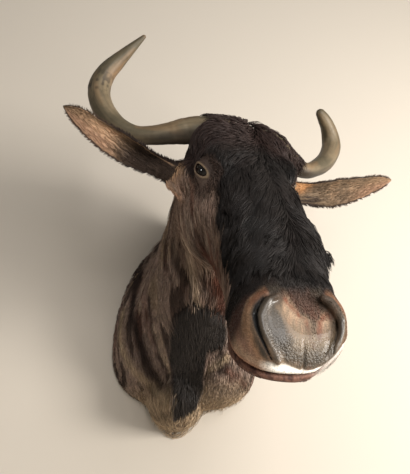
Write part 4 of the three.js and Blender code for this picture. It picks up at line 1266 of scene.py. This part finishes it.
def hair(
    name, weight, count, length, steps, seed, width,
    slot, coat, tone, parts=1, more=0, read=None, root_dark=0.62, **how,
):
    """Grows one zone of the coat and splits it into pieces."""
    count = count // THIN
    roots = scatter(weight, count, seed)
    if more:
        roots = np.concatenate([roots, horn_roots(more // THIN, seed + 300)])
        count = len(roots)
    reach = length(roots) if callable(length) else np.full(count, float(length))
    paths = grow(roots, reach, steps, seed + 100, read or read_skin, **how)
    rng = np.random.default_rng(seed + 200)
    lock_tone = noise(roots, (8, 8, 12), seed + 5)
    lane = noise(roots + 16 * (noise(roots, (40, 40, 60), 9) - 0.5)[:, None], (3.4, 3.4, 60), 15)
    strand = 0.3 * rng.random(count) + 0.3 * smooth(0.2, 0.8, lock_tone) + 0.4 * smooth(0.2, 0.8, lane)
    strand = mix(*tone, strand)
    colours = coat_colour(paths[:, steps // 2] if coat is FUR else roots, strand)
    wide = width * rng.uniform(0.7, 1.3, count) * math.sqrt(THIN)
    for k in range(parts):
        pick = np.arange(k, count, parts)
        label = name if parts == 1 else f"{name}_{k + 1}"
        tuft_piece(label, paths[pick], wide[pick], colours[pick], coat, root_dark=root_dark)


def muzzle_length(p):
    return mix(4.0, 9.0, smooth(-300, -240, to_head(p)[:, 1]))


def face_bulk(p):
    """How much higher the hair lies on the animal's left side of the nose."""
    near, _ = polyline(to_head(p), np.array([(44.0, -138, 40), (52, -166, 34), (58, -190, 24)]))
    return 13 * bell(near, 26)


def crown_bulk(p):
    """How much higher the crown's hair lies, most between the horns."""
    h = to_head(p)
    return 1 + 3 * bell(h[:, 0], 16) * smooth(60, 85, h[:, 1])


def ear_foot(p):
    """The tan hair that hangs from the foot of each ear."""
    return smooth(24, 12, ball(mirrored(to_head(p)), (104.0, 42, -60)))


def cheek_tuft(p):
    """How loose the face's hair is: more at the tuft on the side of the nose."""
    return 1.2 + 1.5 * smooth(30, 8, ball(mirrored(to_head(p)), (62.0, -178, 8)))


def throat(p):
    return beard_share(p, -280)


def side_tuft(p):
    """The one tuft that stands out, on the animal's left of the nose."""
    return smooth(15, 4, ball(to_head(p), (58.0, -190, 16)))


LONG = {"slot": "face_coat", "coat": HAIR, "tone": (-0.6, 1.7)}
NECK_LONG = dict(LONG, slot="neck_coat")
SHORT = {"slot": "neck_coat", "coat": FUR}
# name, where it grows, tufts, length, steps, seed, width and how it grows
ZONES = (
    ("face_hair", face_weight, 12400, face_length, 6, 51, 1.5,
     dict(LONG, parts=3, wave=3.2, lock=0.8, lock_size=13, loose=cheek_tuft, spare=face_bulk)),
    ("side_tuft", side_tuft, 90, 27, 6, 58, 1.3,
     dict(LONG, hang=0.35, wave=1.5, lock=0.9, lock_size=16, spare=9, loose=9, height=1.6)),
    ("ear_foot_hair", ear_foot, 900, 26, 4, 59, 1.4,
     dict(SHORT, tone=(-0.2, 1.4), hang=0.6, lock=0.7, lock_size=12, spare=4, loose=5, height=1.3,
          root_dark=0.8)),
    ("crown_hair", crown_weight, 3600, 22, 5, 52, 1.4,
     dict(LONG, tone=(0.0, 1.2), wave=1.2, lock=0.35, lock_size=8, spare=crown_bulk, more=2200,
          read=read_scalp, root_dark=0.8)),
    ("beard", throat, 6400, 26, 4, 53, 1.5,
     dict(NECK_LONG, hang=0.1, wave=1.2, lock=0.45, lock_size=12, spare=2, loose=2)),
    ("mane", mane_weight, 2800, 66, 6, 54, 2.0, dict(NECK_LONG, wave=3.0, lock=0.75, lock_size=16, spare=5)),
    ("cheek_coat", cheek_weight, 9000, cheek_length, 4, 55, 1.3,
     dict(SHORT, tone=(-0.9, 1.9), parts=2, lock=0.5, lock_size=9, spare=1)),
    ("neck_coat", neck_weight, 30000, 18, 2, 56, 1.8,
     dict(SHORT, tone=(-0.7, 1.7), parts=2, height=0.6, loose=0.2, root_dark=0.8)),
    ("muzzle_hair", muzzle_weight, 8000, muzzle_length, 2, 57, 0.7,
     dict(slot="muzzle_skin", coat=FUR, tone=(0.2, 0.8), height=0.3, loose=0.1, root_dark=1.0)),
)
for *zone, how in ZONES:
    hair(*zone, **how)

# ---------------------------------------------------------------- horns

# a line in the head's frame from root to tip, and the radius at each place
RIGHT_HORN = [
    (26, 98, 26, 28), (71, 103, 19, 26), (97, 105, 10, 23), (122, 105, -1, 19.5), (147, 106, -11, 17),
    (173, 112, -20, 16.5), (200, 131, -22, 17.5), (220, 158, -18, 19), (234, 186, -8, 20.5),
    (238, 211, 6, 20.5), (231, 230, 26, 18.5), (215, 243, 48, 15.0), (192, 256, 79, 8.8),
    (176, 263, 101, 3.4),
]
LEFT_HORN = [
    (26, 98, 26, 28), (71, 102, 18, 25.5), (97, 101, 6, 21.5), (126, 101, -6, 17), (152, 108, -11, 15.5),
    (176, 127, -12, 16.5), (202, 154, -12, 18.5), (222, 180, -7, 19.5), (234, 205, 4, 20), (231, 219, 18, 18),
    (219, 227, 35, 15.5), (204, 229, 49, 13), (186, 235, 63, 8),
]
HORN_GREY = rgb(90, 81, 63)
HORN_PALE = rgb(122, 107, 84)
HORN_TAN = rgb(132, 102, 72)
HORN_DARK = rgb(42, 36, 30)
# where the painted shade below the right and left horn ends and is full, along the horn
HORN_SHADE = {-1: (190, 110), 1: (250, 150)}
HORN_ROWS, HORN_AROUND = ((220, 64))


def frames_along(line):
    """A side and an up direction for each point of a line, turning as little as they can."""
    ahead = unit(np.gradient(line, axis=0))
    side = np.empty_like(line)
    side[0] = unit(np.cross(ahead[0], [0.1, 0.2, 1.0]))
    for i in range(1, len(line)):
        side[i] = unit(side[i - 1] - ahead[i] * dot(side[i - 1], ahead[i]))
    return side, np.cross(ahead, side)


def ring_faces(rows, around):
    """Quads between rows of points, each row closed on itself."""
    i, j = np.meshgrid(np.arange(rows - 1), np.arange(around), indexing="ij")
    a, b = i * around + j, i * around + (j + 1) % around
    return np.stack([a, b, b + around, a + around], -1).reshape(-1, 4)


def horn_piece(name, rows, sign, replaced, bright):
    rows = np.array(rows, float) * np.array([sign, 1, 1, 1])
    reach = np.append(0, np.cumsum(np.linalg.norm(np.diff(rows[:, :3], axis=0), axis=1)))
    places, table = section_table(np.column_stack([reach, rows]))
    length = places[-1]
    count, around = HORN_ROWS, HORN_AROUND
    s = length * np.linspace(0, 1, count)
    line = np.stack([np.interp(s, places, table[:, k]) for k in (1, 2, 3)], 1)
    radius = np.interp(s, places, table[:, 4])
    end = rows[-1, 3]
    radius = radius * np.sqrt(np.clip(1 - ((s - (length - end)) / end).clip(0, 1) ** 2, 0.0004, 1))
    side, up = frames_along(line)
    turn = np.linspace(0, 2 * math.pi, around, endpoint=False)
    way = side[:, None] * np.cos(turn)[None, :, None] + up[:, None] * np.sin(turn)[None, :, None]
    tube = np.stack(
        [np.outer(radius, np.cos(turn)), np.outer(radius, np.sin(turn)), np.repeat(s[:, None], around, 1)], -1
    ).reshape(-1, 3)
    base = 1 - smooth(60, 150, tube[:, 2])
    fibre = noise(tube, (2.2, 2.2, 60), 61) - 0.5
    dent = noise(tube, (14, 14, 26), 62) - 0.5
    wrinkle = noise(tube + 6 * dent[:, None], (30, 30, 4.5), 63) - 0.5
    bend = bell(tube[:, 2] - 286, 26) * (sign < 0)
    crack = np.abs(noise(tube, (17, 17, 23), 64) - 0.5)
    crack = smooth(0.03, 0.008, crack) * np.clip(bend + 0.35 * base, 0, 1)
    grow_out = 0.5 * fibre + 1.6 * dent * (0.5 + base) + 1.1 * wrinkle * (0.15 + base) - 0.5 * crack
    taper = np.repeat(np.minimum(radius / 10, 1), around)
    flesh = way.reshape(-1, 3) * ((np.repeat(radius, around) + (grow_out - 0.9) * taper))[:, None]
    points = np.repeat(line, around, 0) + flesh
    points = np.concatenate([points, line[-1:]])
    faces = ring_faces(count, around)
    last = (count - 1) * around + np.arange(around)
    cap = np.stack([last, np.roll(last, -1), np.full(around, count * around)], 1)
    world = from_head(points)
    # colour: pale and olive fibres, tan on the inner side above the bend, painted shade below near the head
    out = head_axis(way.reshape(-1, 3))
    at = tube[:, 2]
    tone = 0.3 * noise(tube, (2.6, 2.6, 90), 65) + 0.7 * noise(tube, (14, 14, 45), 66)
    colour = blend(HORN_GREY, HORN_PALE, smooth(0.35, 0.8, tone))
    inner = smooth(-0.1, 0.8, out[:, 0] * -sign)
    colour = blend(colour, HORN_TAN, 0.75 * inner * smooth(285, 320, at) * smooth(0.35, 0.6, tone))
    colour = blend(colour, HORN_TAN, 0.35 * smooth(0.55, 0.75, noise(tube, (20, 20, 30), 67)))
    mottle = smooth(0.5, 0.75, noise(tube, (5, 5, 9), 68)) * (0.55 * bend + 0.12)
    colour = blend(colour, HORN_DARK, mottle)
    # painted shade: the downward side near the head is painted dark; the cracks are real, and the horn is
    # darker near the root
    underside_shade = smooth(0.1, 0.75, -out[:, 2]) * smooth(*HORN_SHADE[sign], at)
    colour = layers(colour, [
        (HORN_DARK, 0.85 * underside_shade),
        (HORN_DARK, 0.7 * crack),
        (HORN_DARK, 0.4 * smooth(40, 5, at)),
    ])
    colour = np.concatenate([colour, colour[-1:]]) * bright
    obj = make_mesh(name, world, faces, (replaced,), cap)
    paint(obj, "coat", colour)
    obj.data.materials.append(HORN)


KERATIN = [("grain", 1400, 0.25, 0.0004), ("grain", 260, 0.3, 0.0008)]
HORN = material("horn", (0.82, 1.15, 160), 0.5, KERATIN, specular=0.35)
horn_piece("horn_keratin_right", RIGHT_HORN, -1, "horn_right", 1.0)
horn_piece("horn_keratin_left", LEFT_HORN, 1, "horn_left", 0.95)

# ---------------------------------------------------------------- ears

EAR_ROOT = np.array([92.0, 46, -45])
EAR_TIP = np.array([300.0, 69, 20])
EAR_AXIS = unit(EAR_TIP - EAR_ROOT)
EAR_LENGTH = np.linalg.norm(EAR_TIP - EAR_ROOT)
EAR_FACING = np.array([0.1, -0.94, 0.3])
EAR_FACING = unit(EAR_FACING - EAR_AXIS * dot(EAR_FACING, EAR_AXIS))
EAR_SIDE = np.cross(EAR_AXIS, EAR_FACING)
# share of the way to the tip, width, depth and how hollow the cup is
EAR_SECTIONS = [
    (0.0, 40, 20, -0.9), (0.1, 40, 20, -0.8), (0.18, 43, 22, -0.1), (0.26, 48, 24, 0.7), (0.38, 58, 24, 1),
    (0.52, 62, 20, 1), (0.66, 56, 15, 1), (0.8, 42, 10, 1), (0.92, 23, 6, 1), (1.0, 6, 3.4, 1),
]
# for the right and left ear: the upper half's width as a share, and how far root and tip sit higher
EAR_BEND = {-1: (0.42, 0, 0), 1: (0.62, 16, 7)}
EAR_SKIN = 3.4
EAR_ROWS, EAR_HALF_AROUND = ((90, 30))


def ear_point(t, u, inner, bend, lift=0.0):
    """A place on the left ear in the head's frame: t from root to tip, u from edge to edge."""
    width, depth, cup = (look_up(t, EAR_SECTIONS, k) for k in (1, 2, 3))
    ragged = 1 + 0.022 * np.sin(t * 41 + 2 * u) + 0.016 * np.sin(t * 97 + 5 * u)
    angle = np.clip(u, -1, 1) * math.pi / 2
    wide = (width / 2 - np.where(inner, EAR_SKIN * 0.35, 0)) * ragged
    ridges = 1.5 * bell(u + 0.42, 0.1) + 1.1 * bell(u - 0.12, 0.09)
    ridges = (ridges + 0.8 * bell(u - 0.5, 0.08)) * smooth(0.95, 0.6, t) * smooth(0.15, 0.3, t)
    deep = np.where(inner, (depth - EAR_SKIN) * cup - ridges, depth)
    curl = 2.2 * np.sin(t * 7) * np.abs(u) ** 3
    narrow, root_rise, tip_rise = bend
    upper = 1 - (1 - narrow) * smooth(0.0, 0.3, t) * smooth(1.0, 0.7, t)
    wide = wide * np.where(u < 0, upper, 1)
    height = curl - deep * np.cos(angle) + lift
    centre = EAR_ROOT + np.multiply.outer(t, EAR_TIP - EAR_ROOT)
    ends = np.where(t < 0.5, root_rise, tip_rise) * (1 - np.sin(math.pi * t))
    return centre + EAR_SIDE * (wide * np.sin(angle) - ends)[..., None] + EAR_FACING * height[..., None]


EAR_DARK = rgb(46, 36, 32)
EAR_BROWN = rgb(122, 102, 80)
EAR_TAN = rgb(174, 142, 112)
EAR_GREY = rgb(98, 84, 68)
EAR_PINK = rgb(156, 122, 100)
EAR_PALE = rgb(224, 188, 154)
EAR_AMBER = rgb(200, 146, 96)


def ear_colour(t, u, inner, sign, strand=0.5):
    q = np.stack([t * EAR_LENGTH, u * 30, 50 * inner + 0 * t], 1)
    streak = noise(q, (26, 3.2, 9), 71)
    patch = noise(q, (22, 12, 9), 72)
    colour = blend(mix(EAR_BROWN, EAR_TAN, 0.45), EAR_TAN, smooth(0.35, 0.75, streak) * smooth(0.25, 0.55, t))
    colour = blend(colour, EAR_PINK, 0.65 * smooth(-0.1, 0.5, u) * smooth(0.45, 0.62, t))
    if sign < 0:
        dark = smooth(0.68, 0.46, t + 0.12 * u + 0.12 * (patch - 0.5))
        colour = blend(colour, EAR_DARK, 0.92 * dark)
        pale = np.exp(-(((t - 0.6) / 0.14) ** 2) - ((u + 0.2) / 0.35) ** 2)
        colour = blend(colour, EAR_PALE, 0.9 * pale)
        fold = bell(u + 0.5, 0.07) * smooth(0.62, 0.5, t) * smooth(0.05, 0.15, t)
        colour = layers(colour, [
            (EAR_TAN, 0.75 * fold),
            (EAR_DARK, 0.8 * smooth(-0.56, -0.64, u) * smooth(0.6, 0.4, t)),
            (EAR_BROWN * 0.7, 0.85 * smooth(0.9, 0.97, t)),
        ])
    else:
        ribs = noise(q, (3.4, 30, 9), 73)
        colour = layers(colour, [
            (EAR_GREY, 0.75 * smooth(0.8, 0.7, t + 0.1 * u)),
            (EAR_TAN, 0.5 * smooth(0.4, 0.7, ribs) * smooth(0.35, 0.5, t) * smooth(0.8, 0.7, t)),
            (EAR_DARK, 0.85 * smooth(0.35, 0.6, streak + 0.2 * (patch - 0.5)) * smooth(0.5, 0.3, t)),
            (EAR_AMBER, 0.8 * bell(t - 0.17, 0.09) * smooth(0.4, -0.3, u)),
        ])
    back = blend(EAR_BROWN * 0.9, EAR_DARK, smooth(0.4, 0.8, streak))
    colour = blend(back, colour, inner * 1.0)
    colour = blend(colour, EAR_DARK, 0.9 * smooth(0.86, 0.97, np.abs(u)))
    return colour * mix(0.86, 1.16, np.asarray(strand)).reshape(-1, 1)


def ear_piece(name, sign, replaced):
    rows, half = EAR_ROWS, EAR_HALF_AROUND
    t = np.linspace(0, 1, rows) ** 0.95
    u = np.cos(np.linspace(math.pi, 0, half + 1))
    ring_u = np.concatenate([u, u[-2:0:-1]])
    ring_in = np.concatenate([np.zeros(half + 1), np.ones(half - 1)])
    tt, uu = np.repeat(t, len(ring_u)), np.tile(ring_u, rows)
    inner = np.tile(ring_in, rows)
    points = ear_point(tt, uu, inner > 0, EAR_BEND[sign]) * np.array([sign, 1, 1])
    _, root_rise, tip_rise = EAR_BEND[sign]
    tip = (EAR_TIP + 3 * EAR_AXIS - EAR_SIDE * tip_rise) * np.array([sign, 1, 1])
    root = (EAR_ROOT - 2 * EAR_AXIS - EAR_SIDE * root_rise) * np.array([sign, 1, 1])
    faces = ring_faces(rows, len(ring_u))
    count = len(points)
    last = count - len(ring_u) + np.arange(len(ring_u))
    first = np.arange(len(ring_u))
    ends = np.concatenate([
        np.stack([last, np.roll(last, -1), np.full(len(last), count)], 1),
        np.stack([np.roll(first, -1), first, np.full(len(first), count + 1)], 1),
    ])
    if sign > 0:
        faces, ends = faces[:, ::-1], ends[:, ::-1]
    world = from_head(np.concatenate([points, [tip, root]]))
    obj = make_mesh(name, world, faces, (replaced,), ends)
    colour = ear_colour(tt, uu, inner, sign)
    paint(obj, "coat", np.concatenate([colour, colour[-1:], colour[:1]]))
    obj.data.materials.append(FUR)


# kind of hair: tufts, length, lean across the leaf, and how far tips and roots lie off it
EAR_HAIR = {
    "cup": (1500, 15, -0.10, 2.6, -0.6),
    "fringe": (900, 5.5, 0.16, 1.0, -0.6),
    "back": (1500, 9, 0.0, -2.0, 0.6),
}
EAR_HAIR_STEPS = 3
FRINGE_REACH = 24


def ear_hair(name, sign, seed):
    """Fine hair in the cup, a dark fringe along both edges and a short coat on the back."""
    rng = np.random.default_rng(seed)
    flip = np.array([sign, 1, 1])
    grown = []
    for kind, (count, length, slant, tip_lift, root_lift) in EAR_HAIR.items():
        count //= THIN
        fringe, back = kind == "fringe", kind == "back"
        t = rng.uniform(0.04, 0.97, count)
        if fringe:
            u = np.where(rng.random(count) < 0.5, -1, 1) * rng.uniform(0.93, 1.0, count)
        else:
            u = rng.uniform(-0.92, 0.92, count)
        inner = np.full(count, not back)
        reach = length * rng.uniform(0.6, 1.2, count) / EAR_LENGTH
        lean = slant * rng.uniform(0.2, 1.6, count)
        path = np.empty((count, EAR_HAIR_STEPS + 1, 3))
        for s in range(EAR_HAIR_STEPS + 1):
            share = s / EAR_HAIR_STEPS
            lift = tip_lift * share + root_lift * (1 - share)
            across = u if fringe else u + lean * share
            path[:, s] = ear_point(np.minimum(t + reach * share, 1.0), across, inner, EAR_BEND[sign], lift)
            if fringe:
                path[:, s] += EAR_SIDE * (np.sign(u) * lean * FRINGE_REACH * share)[:, None]
        facing = head_axis(EAR_FACING * flip * (-1 if back else 1))
        grown.append((
            from_head(path * flip),
            ear_colour(t, u, inner * 1.0, sign, rng.random(count)),
            np.repeat(facing[None], count, 0),
            np.stack([t, 0.5 + 0.24 * u + 0.26 * back], 1),
        ))
    paths, colours, ups, places = (np.concatenate(part) for part in zip(*grown))
    width = np.full(len(paths), math.sqrt(THIN))
    tuft_piece(name, paths, width, colours, FUR, ups, root_dark=0.85, places=places)


ear_piece("ear_leaf_right", -1, "ear_right")
ear_piece("ear_leaf_left", 1, "ear_left")
ear_hair("ear_hair_right", -1, 81)
ear_hair("ear_hair_left", 1, 82)

# ---------------------------------------------------------------- eyes and back board

EYE_BLACK = rgb(9, 7, 6)
EYE_BROWN = rgb(22, 18, 15)
EYE_ROWS, EYE_AROUND = 40, 48


def eye_piece(name, sign, replaced):
    """A glass eye: a ball with a cornea that swells a little over a brown iris and a long pupil."""
    angle = np.linspace(0.02, math.pi - 0.02, EYE_ROWS)
    turn = np.linspace(0, 2 * math.pi, EYE_AROUND, endpoint=False)
    a, b = np.meshgrid(angle, turn, indexing="ij")
    a, b = a.ravel(), b.ravel()
    aside = EYE_ACROSS * np.cos(b)[:, None] + EYE_UP * np.sin(b)[:, None]
    way = EYE_LOOK * np.cos(a)[:, None] + aside * np.sin(a)[:, None]
    size = EYE_RADIUS - 0.2 + 0.9 * bell(a, 0.5)
    points = (EYE_CENTRE + way * size[:, None]) * np.array([sign, 1, 1])
    across, up = np.cos(b) * np.sin(a), np.sin(b) * np.sin(a)
    pupil = smooth(1.1, 0.9, np.hypot(across / 0.42, up / 0.3))
    colour = blend(EYE_BROWN, EYE_BLACK, np.clip(pupil + smooth(0.5, 0.62, np.sin(a)), 0, 1))
    faces = ring_faces(EYE_ROWS, EYE_AROUND)
    if sign < 0:
        faces = faces[:, ::-1]
    obj = make_mesh(name, from_head(points), faces, (replaced,))
    paint(obj, "coat", colour)
    obj.data.materials.append(GLASS)


GLASS = material("eye_glass", (0.8, 1.1, 300), 0.06, specular=0.35, coat=0.1)
eye_piece("glass_eye_right", -1, "eye_right")
eye_piece("glass_eye_left", 1, "eye_left")


PLYWOOD = ((0.28, 0.16, 0.08, 1), (0.62, 0.44, 0.27, 1))


def wood():
    made, node, to_shader = new_material("plywood", Roughness=0.7)
    stretch = node("Mapping", [("Vector", node("TexCoord").outputs["Object"])], Scale=(3, 160, 40))
    grain = node("TexNoise", [("Vector", stretch.outputs["Vector"])], Scale=3, Detail=6)
    ramp = node("ValToRGB", [("Fac", grain.outputs["Fac"])])
    for element, colour in zip(ramp.color_ramp.elements, PLYWOOD):
        element.color = colour
    to_shader("Base Color", ramp.outputs["Color"])
    return made


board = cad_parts["back_board"]
board.data.materials.clear()
board.data.materials.append(wood())

# ---------------------------------------------------------------- camera, light, wall and floor

CAMERA_PLACE = (-0.092, -1.285, -0.400)
CAMERA_TURN = (112, 0, -6)
CAMERA_LENS, CAMERA_SENSOR = 45.57, 36
HEAD_MIDDLE = (0, -0.3, 0)
# place, size, watts and colour of the two soft lights
SOFT_LIGHTS = {
    "key": ((1.4, -1.1, -0.2), 0.6, 34, (1.0, 0.96, 0.9)),
    "front": ((0.5, -2.0, 0.2), 0.9, 21, (1.0, 0.98, 0.96)),
}
# a small light that gives the eye its glint
GLINT_PLACE, GLINT_AIM = (-1.095, -1.113, -0.217), (-0.01, -0.457, 0.05)
GLINT_WATTS, GLINT_SIZE, GLINT_CONE = 34, 0.09, 9
SKY, SKY_STRENGTH = (1.0, 0.97, 0.92, 1), 0.22
WALL_COLOUR, FLOOR_COLOUR = (0.64, 0.58, 0.50), (0.7, 0.66, 0.6)
ROOM_HALF, ROOM_DEPTH, ROOM_TOP, FLOOR_AT, WALL_AT = 3, -3.5, 2.4, -1.3, 0.002


def put(name, data, place):
    obj = bpy.data.objects.new(name, data)
    obj.location = place
    bpy.context.scene.collection.objects.link(obj)
    return obj


def lamp(name, kind, place, aim, power):
    light = bpy.data.lights.new(name, kind)
    light.energy = power
    put(name, light, place).rotation_euler = (Vector(place) - Vector(aim)).to_track_quat("Z", "Y").to_euler()
    return light


def set_stage():
    scene = bpy.context.scene
    cam = bpy.data.cameras.new("camera")
    cam.sensor_width = CAMERA_SENSOR
    cam.lens = CAMERA_LENS
    cam.clip_end = 50
    scene.camera = put("camera", cam, CAMERA_PLACE)
    scene.camera.rotation_euler = [math.radians(a) for a in CAMERA_TURN]
    for name, (place, size, power, colour) in SOFT_LIGHTS.items():
        light = lamp(name, "AREA", place, HEAD_MIDDLE, power)
        light.size = size
        light.color = colour
    glint = lamp("spark", "SPOT", GLINT_PLACE, GLINT_AIM, GLINT_WATTS)
    glint.shadow_soft_size = GLINT_SIZE
    glint.spot_size = math.radians(GLINT_CONE)
    glint.spot_blend = 1
    world = bpy.data.worlds.new("world")
    world.use_nodes = True
    background = world.node_tree.nodes["Background"]
    background.inputs[0].default_value = SKY
    background.inputs[1].default_value = SKY_STRENGTH
    scene.view_settings.view_transform = "Standard"
    scene.world = world


def flat(name, corners, colour):
    mesh = bpy.data.meshes.new(name)
    mesh.from_pydata(corners, [], [tuple(range(len(corners)))])
    mesh.materials.append(new_material(name, Base_Color=(*colour, 1), Roughness=0.8)[0])
    put(name, mesh, (0, 0, 0))


def across_room(y, z):
    """Two corners at one depth and height, left and right."""
    return [(-ROOM_HALF, y, z), (ROOM_HALF, y, z)]


set_stage()
wall_foot = across_room(WALL_AT, FLOOR_AT)
flat("wall", wall_foot + across_room(WALL_AT, ROOM_TOP)[::-1], WALL_COLOUR)
flat("floor", across_room(ROOM_DEPTH, FLOOR_AT) + wall_foot[::-1], FLOOR_COLOUR)
